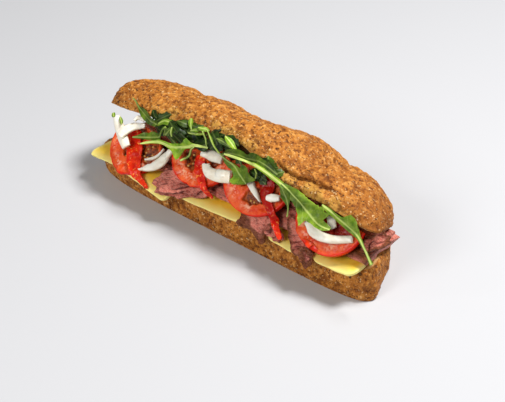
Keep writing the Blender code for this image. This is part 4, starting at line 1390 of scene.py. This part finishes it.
rocket(
    "rocket_8",
    dict(path=((-8.2, 22.4), (-2.8, 20.8), (3.6, 19.6), (8.7, 16.3), (17.4, 12.2)),
         left=(0.4, 0.5, 0.5, 0.6, 0.6, 0.6, 0.7, (3.6, 20.6), (6.2, 20), (9, 19.2), (8.2, 21.4), (9.8, 23.4),
               (13.2, 22.2), (15.4, 19.8), (18.4, 17.8), (24.6, 17.8), (21, 14.6), 0.5),
         right=(0.4, 0.5, 0.6, (-5.2, 19.6), (-3, 17.8), (-0.6, 16.8), (1.8, 16.6), (4, 15.6), (6, 13.8),
                (6.2, 11.6), (5.6, 9.8), (8, 8.4), (11, 8.4), (13.6, 9.6), (15.4, 10.6), (16.6, 11.4), 0.5),
         stiff=59.5, seed=9, young=0.32, rib=0.3),
)
rocket(
    "rocket_9",
    small_leaf(((-22.6, 32.7), (-24.3, 33.0), (-26.2, 32.0), (-29.6, 31.4)), (0.6, 1.4, 1.8, 1.3, 0.4), 60.0, 10,
               0.36),
    small_leaf(((-25.3, 30.7), (-21.7, 26.2), (-18.4, 22.8)), (0.5, 0.6, 0.6, 0.7, 0.5), 60.0, 78, 0.5),
    small_leaf(((-22.9, 32.6), (-17, 29.6), (-13, 26.2), (-7.8, 22.4)), (0.5, 0.6, 1.0, 0.6, 0.6), 60.5, 84, 0.55),
)
rocket(
    "rocket_10",
    dict(path=((41.5, 23), (44, 17.6), (49, 13.2), (51.6, 9.6), (53.4, 4.6)), left=(1, 3.2, 3.6, 2.2, 0.7, 0.5, 0.4),
         right=(1, 3.0, 3.4, 2.2, 0.7, 0.5, 0.4), stiff=56.0, seed=11, young=0.24),
    small_leaf(((20.2, 23.3), (21.8, 20.6), (23.5, 17.7)), (0.5, 0.6, 0.6, 0.4), 58.5, 79, 0.5),
)

# %% [markdown]
# ### Rocket on the right
#
# The brightest leaf comes out of the middle on a long pale rib and opens over the large onion. It is a body for the
# rib and one for the blade. The last leaf hangs from the rim of the lid down over the cheese.

# %% Rocket on the right
rocket(
    "rocket_11",
    dict(path=((-3.1, 23.4), (4.5, 24.4), (12.1, 25.3), (21.6, 25.3), (31.4, 24.4), (39, 22.8), (46.5, 20.8)),
         left=(0.4, 0.7, 0.9, 1.1, 1.3, 1.5, 1.6), right=(0.4, 0.7, 0.9, 1.1, 1.4, 1.6, 1.8),
         stiff=60.0, seed=12, young=0.9, rib=0.5),
    dict(path=((44, 21.8), (49, 20.3), (56, 17.6), (65.3, 13.4), (73.4, 9.9), (80, 8.2), (86, 9)),
         left=(1.0, (50.5, 23.0), (56.0, 23.2), (61.0, 21.8), (66.0, 20.4), (71.0, 20.0), (77.8, 20.8),
               (83.0, 17.6), (78.8, 12.8), (82.2, 11.9), (86.2, 10.4)),
         right=(1.0, (48.8, 18.4), (51.4, 15.2), (56.0, 13.2), (60.7, 9.8), (65.4, 2.4), (67.2, 7.6),
                (71.5, 7.4), (76.0, 6.4), (81.2, 6.2), (86.0, 8.4)),
         stiff=58.5, seed=14, young=0.66, rib=0.3, fold=0.1),
)
rocket(
    "rocket_12",
    dict(path=((121.5, 0.8), (113.5, 6.8), (104.5, 13.2), (96.5, 16.2), (88, 18), (76.5, 20.7)),
         left=(1.2, 0.9, 0.8, 1.0, 1.4, (99.4, 12.6), (94.4, 14.0), (89.6, 15.2), 2.0, 1.8, 0.4),
         right=(1.2, 0.9, 0.8, 1.0, 1.4, (101.6, 20.2), (96.6, 23.0), (91.2, 19.4), 1.3, 1.2, 0.4),
         stiff=56.0, seed=13, young=0.55, lean=10.0, rib=0.4),
)

# %% [markdown]
# ## Stage, light and camera
#
# A large soft light above and behind gives the wet food its broad highlights, and a big fill from the front keeps
# the shadows open. A small weak light to the left stands where the slope of filling mirrors it to the camera, and
# puts sharp sparkles on wet edges. The camera looks down on the roll with a long lens, as a food photographer
# would, so that the roll narrows little towards the far end. Its aim is given as the pixel where the middle of the
# sandwich should appear in a picture of PICTURE_SIZE pixels.

# %% Stage
FLOOR_SIZE = 3.0
PICTURE_SIZE = (505.0, 402.0)
TARGET_PIXEL = (258.38, 177.36)
TARGET = (-MIDDLE_X * MM, 0.0, 0.03)
FOCAL_PIXELS = 1650.0


def make_floor():
    """A plain pale square that the sandwich stands on."""
    mesh = bpy.data.meshes.new("floor")
    s = FLOOR_SIZE
    mesh.from_pydata([(-s, -s, 0), (s, -s, 0), (s, s, 0), (-s, s, 0)], [], [(0, 1, 2, 3)])
    material = bpy.data.materials.new("floor")
    material.use_nodes = True
    shader = material.node_tree.nodes["Principled BSDF"]
    shader.inputs["Base Color"].default_value = srgb(194, 194, 196)
    shader.inputs["Roughness"].default_value = 0.6
    mesh.materials.append(material)
    floor = bpy.data.objects.new("floor", mesh)
    bpy.context.scene.collection.objects.link(floor)


def put(name, data, right, back, place):
    """A light or a camera at this place, whose X axis points right and whose Z axis points back."""
    made = bpy.data.objects.new(name, data)
    bpy.context.scene.collection.objects.link(made)
    turn = np.eye(4)
    turn[:3] = np.stack([right, np.cross(back, right), back, place], -1)
    made.matrix_world = Matrix(turn.tolist())
    return made


# %% Lights and camera
def area_light(name, place, size, power):
    """A square light aimed at the middle of the roll."""
    light = bpy.data.lights.new(name, "AREA")
    light.size = size
    light.energy = power
    back = np.array(place) / np.linalg.norm(place)
    right = np.cross((0.0, 0.0, 1.0), back)
    put(name, light, right / np.linalg.norm(right), back, place)


def make_camera(azimuth, elevation, distance):
    """A camera that sees TARGET at TARGET_PIXEL from this distance in metres, turned by two angles in degrees."""
    a, e = np.radians((azimuth, elevation))
    back = np.array([np.sin(a) * np.cos(e), -np.cos(a) * np.cos(e), np.sin(e)])
    right = np.array([np.cos(a), np.sin(a), 0.0])
    off = (np.array(TARGET_PIXEL) - np.array(PICTURE_SIZE) / 2.0) * distance / FOCAL_PIXELS
    place = np.array(TARGET) + back * distance - right * off[0] + np.cross(back, right) * off[1]
    data = bpy.data.cameras.new("camera")
    data.sensor_width = 36.0
    data.lens = FOCAL_PIXELS / PICTURE_SIZE[0] * data.sensor_width
    bpy.context.scene.camera = put("camera", data, right, back, place)
    print("camera at", place.round(3), "m with a lens of", round(data.lens, 1), "mm")


make_floor()
area_light("key", (0.38, 0.34, 1.1), 0.3, 19.0)
area_light("fill", (0.0, -1.1, 0.8), 0.5, 8.5)
area_light("sparkle", (-0.67, -0.76, 0.81), 0.12, 0.7)
world = bpy.data.worlds.new("world")
bpy.context.scene.world = world
world.use_nodes = True
world.node_tree.nodes["Background"].inputs["Color"].default_value = (1.0, 1.0, 1.0, 1.0)
world.node_tree.nodes["Background"].inputs["Strength"].default_value = 0.17
bpy.context.scene.view_settings.view_transform = "Standard"
make_camera(azimuth=39.5, elevation=36.0, distance=1.1)
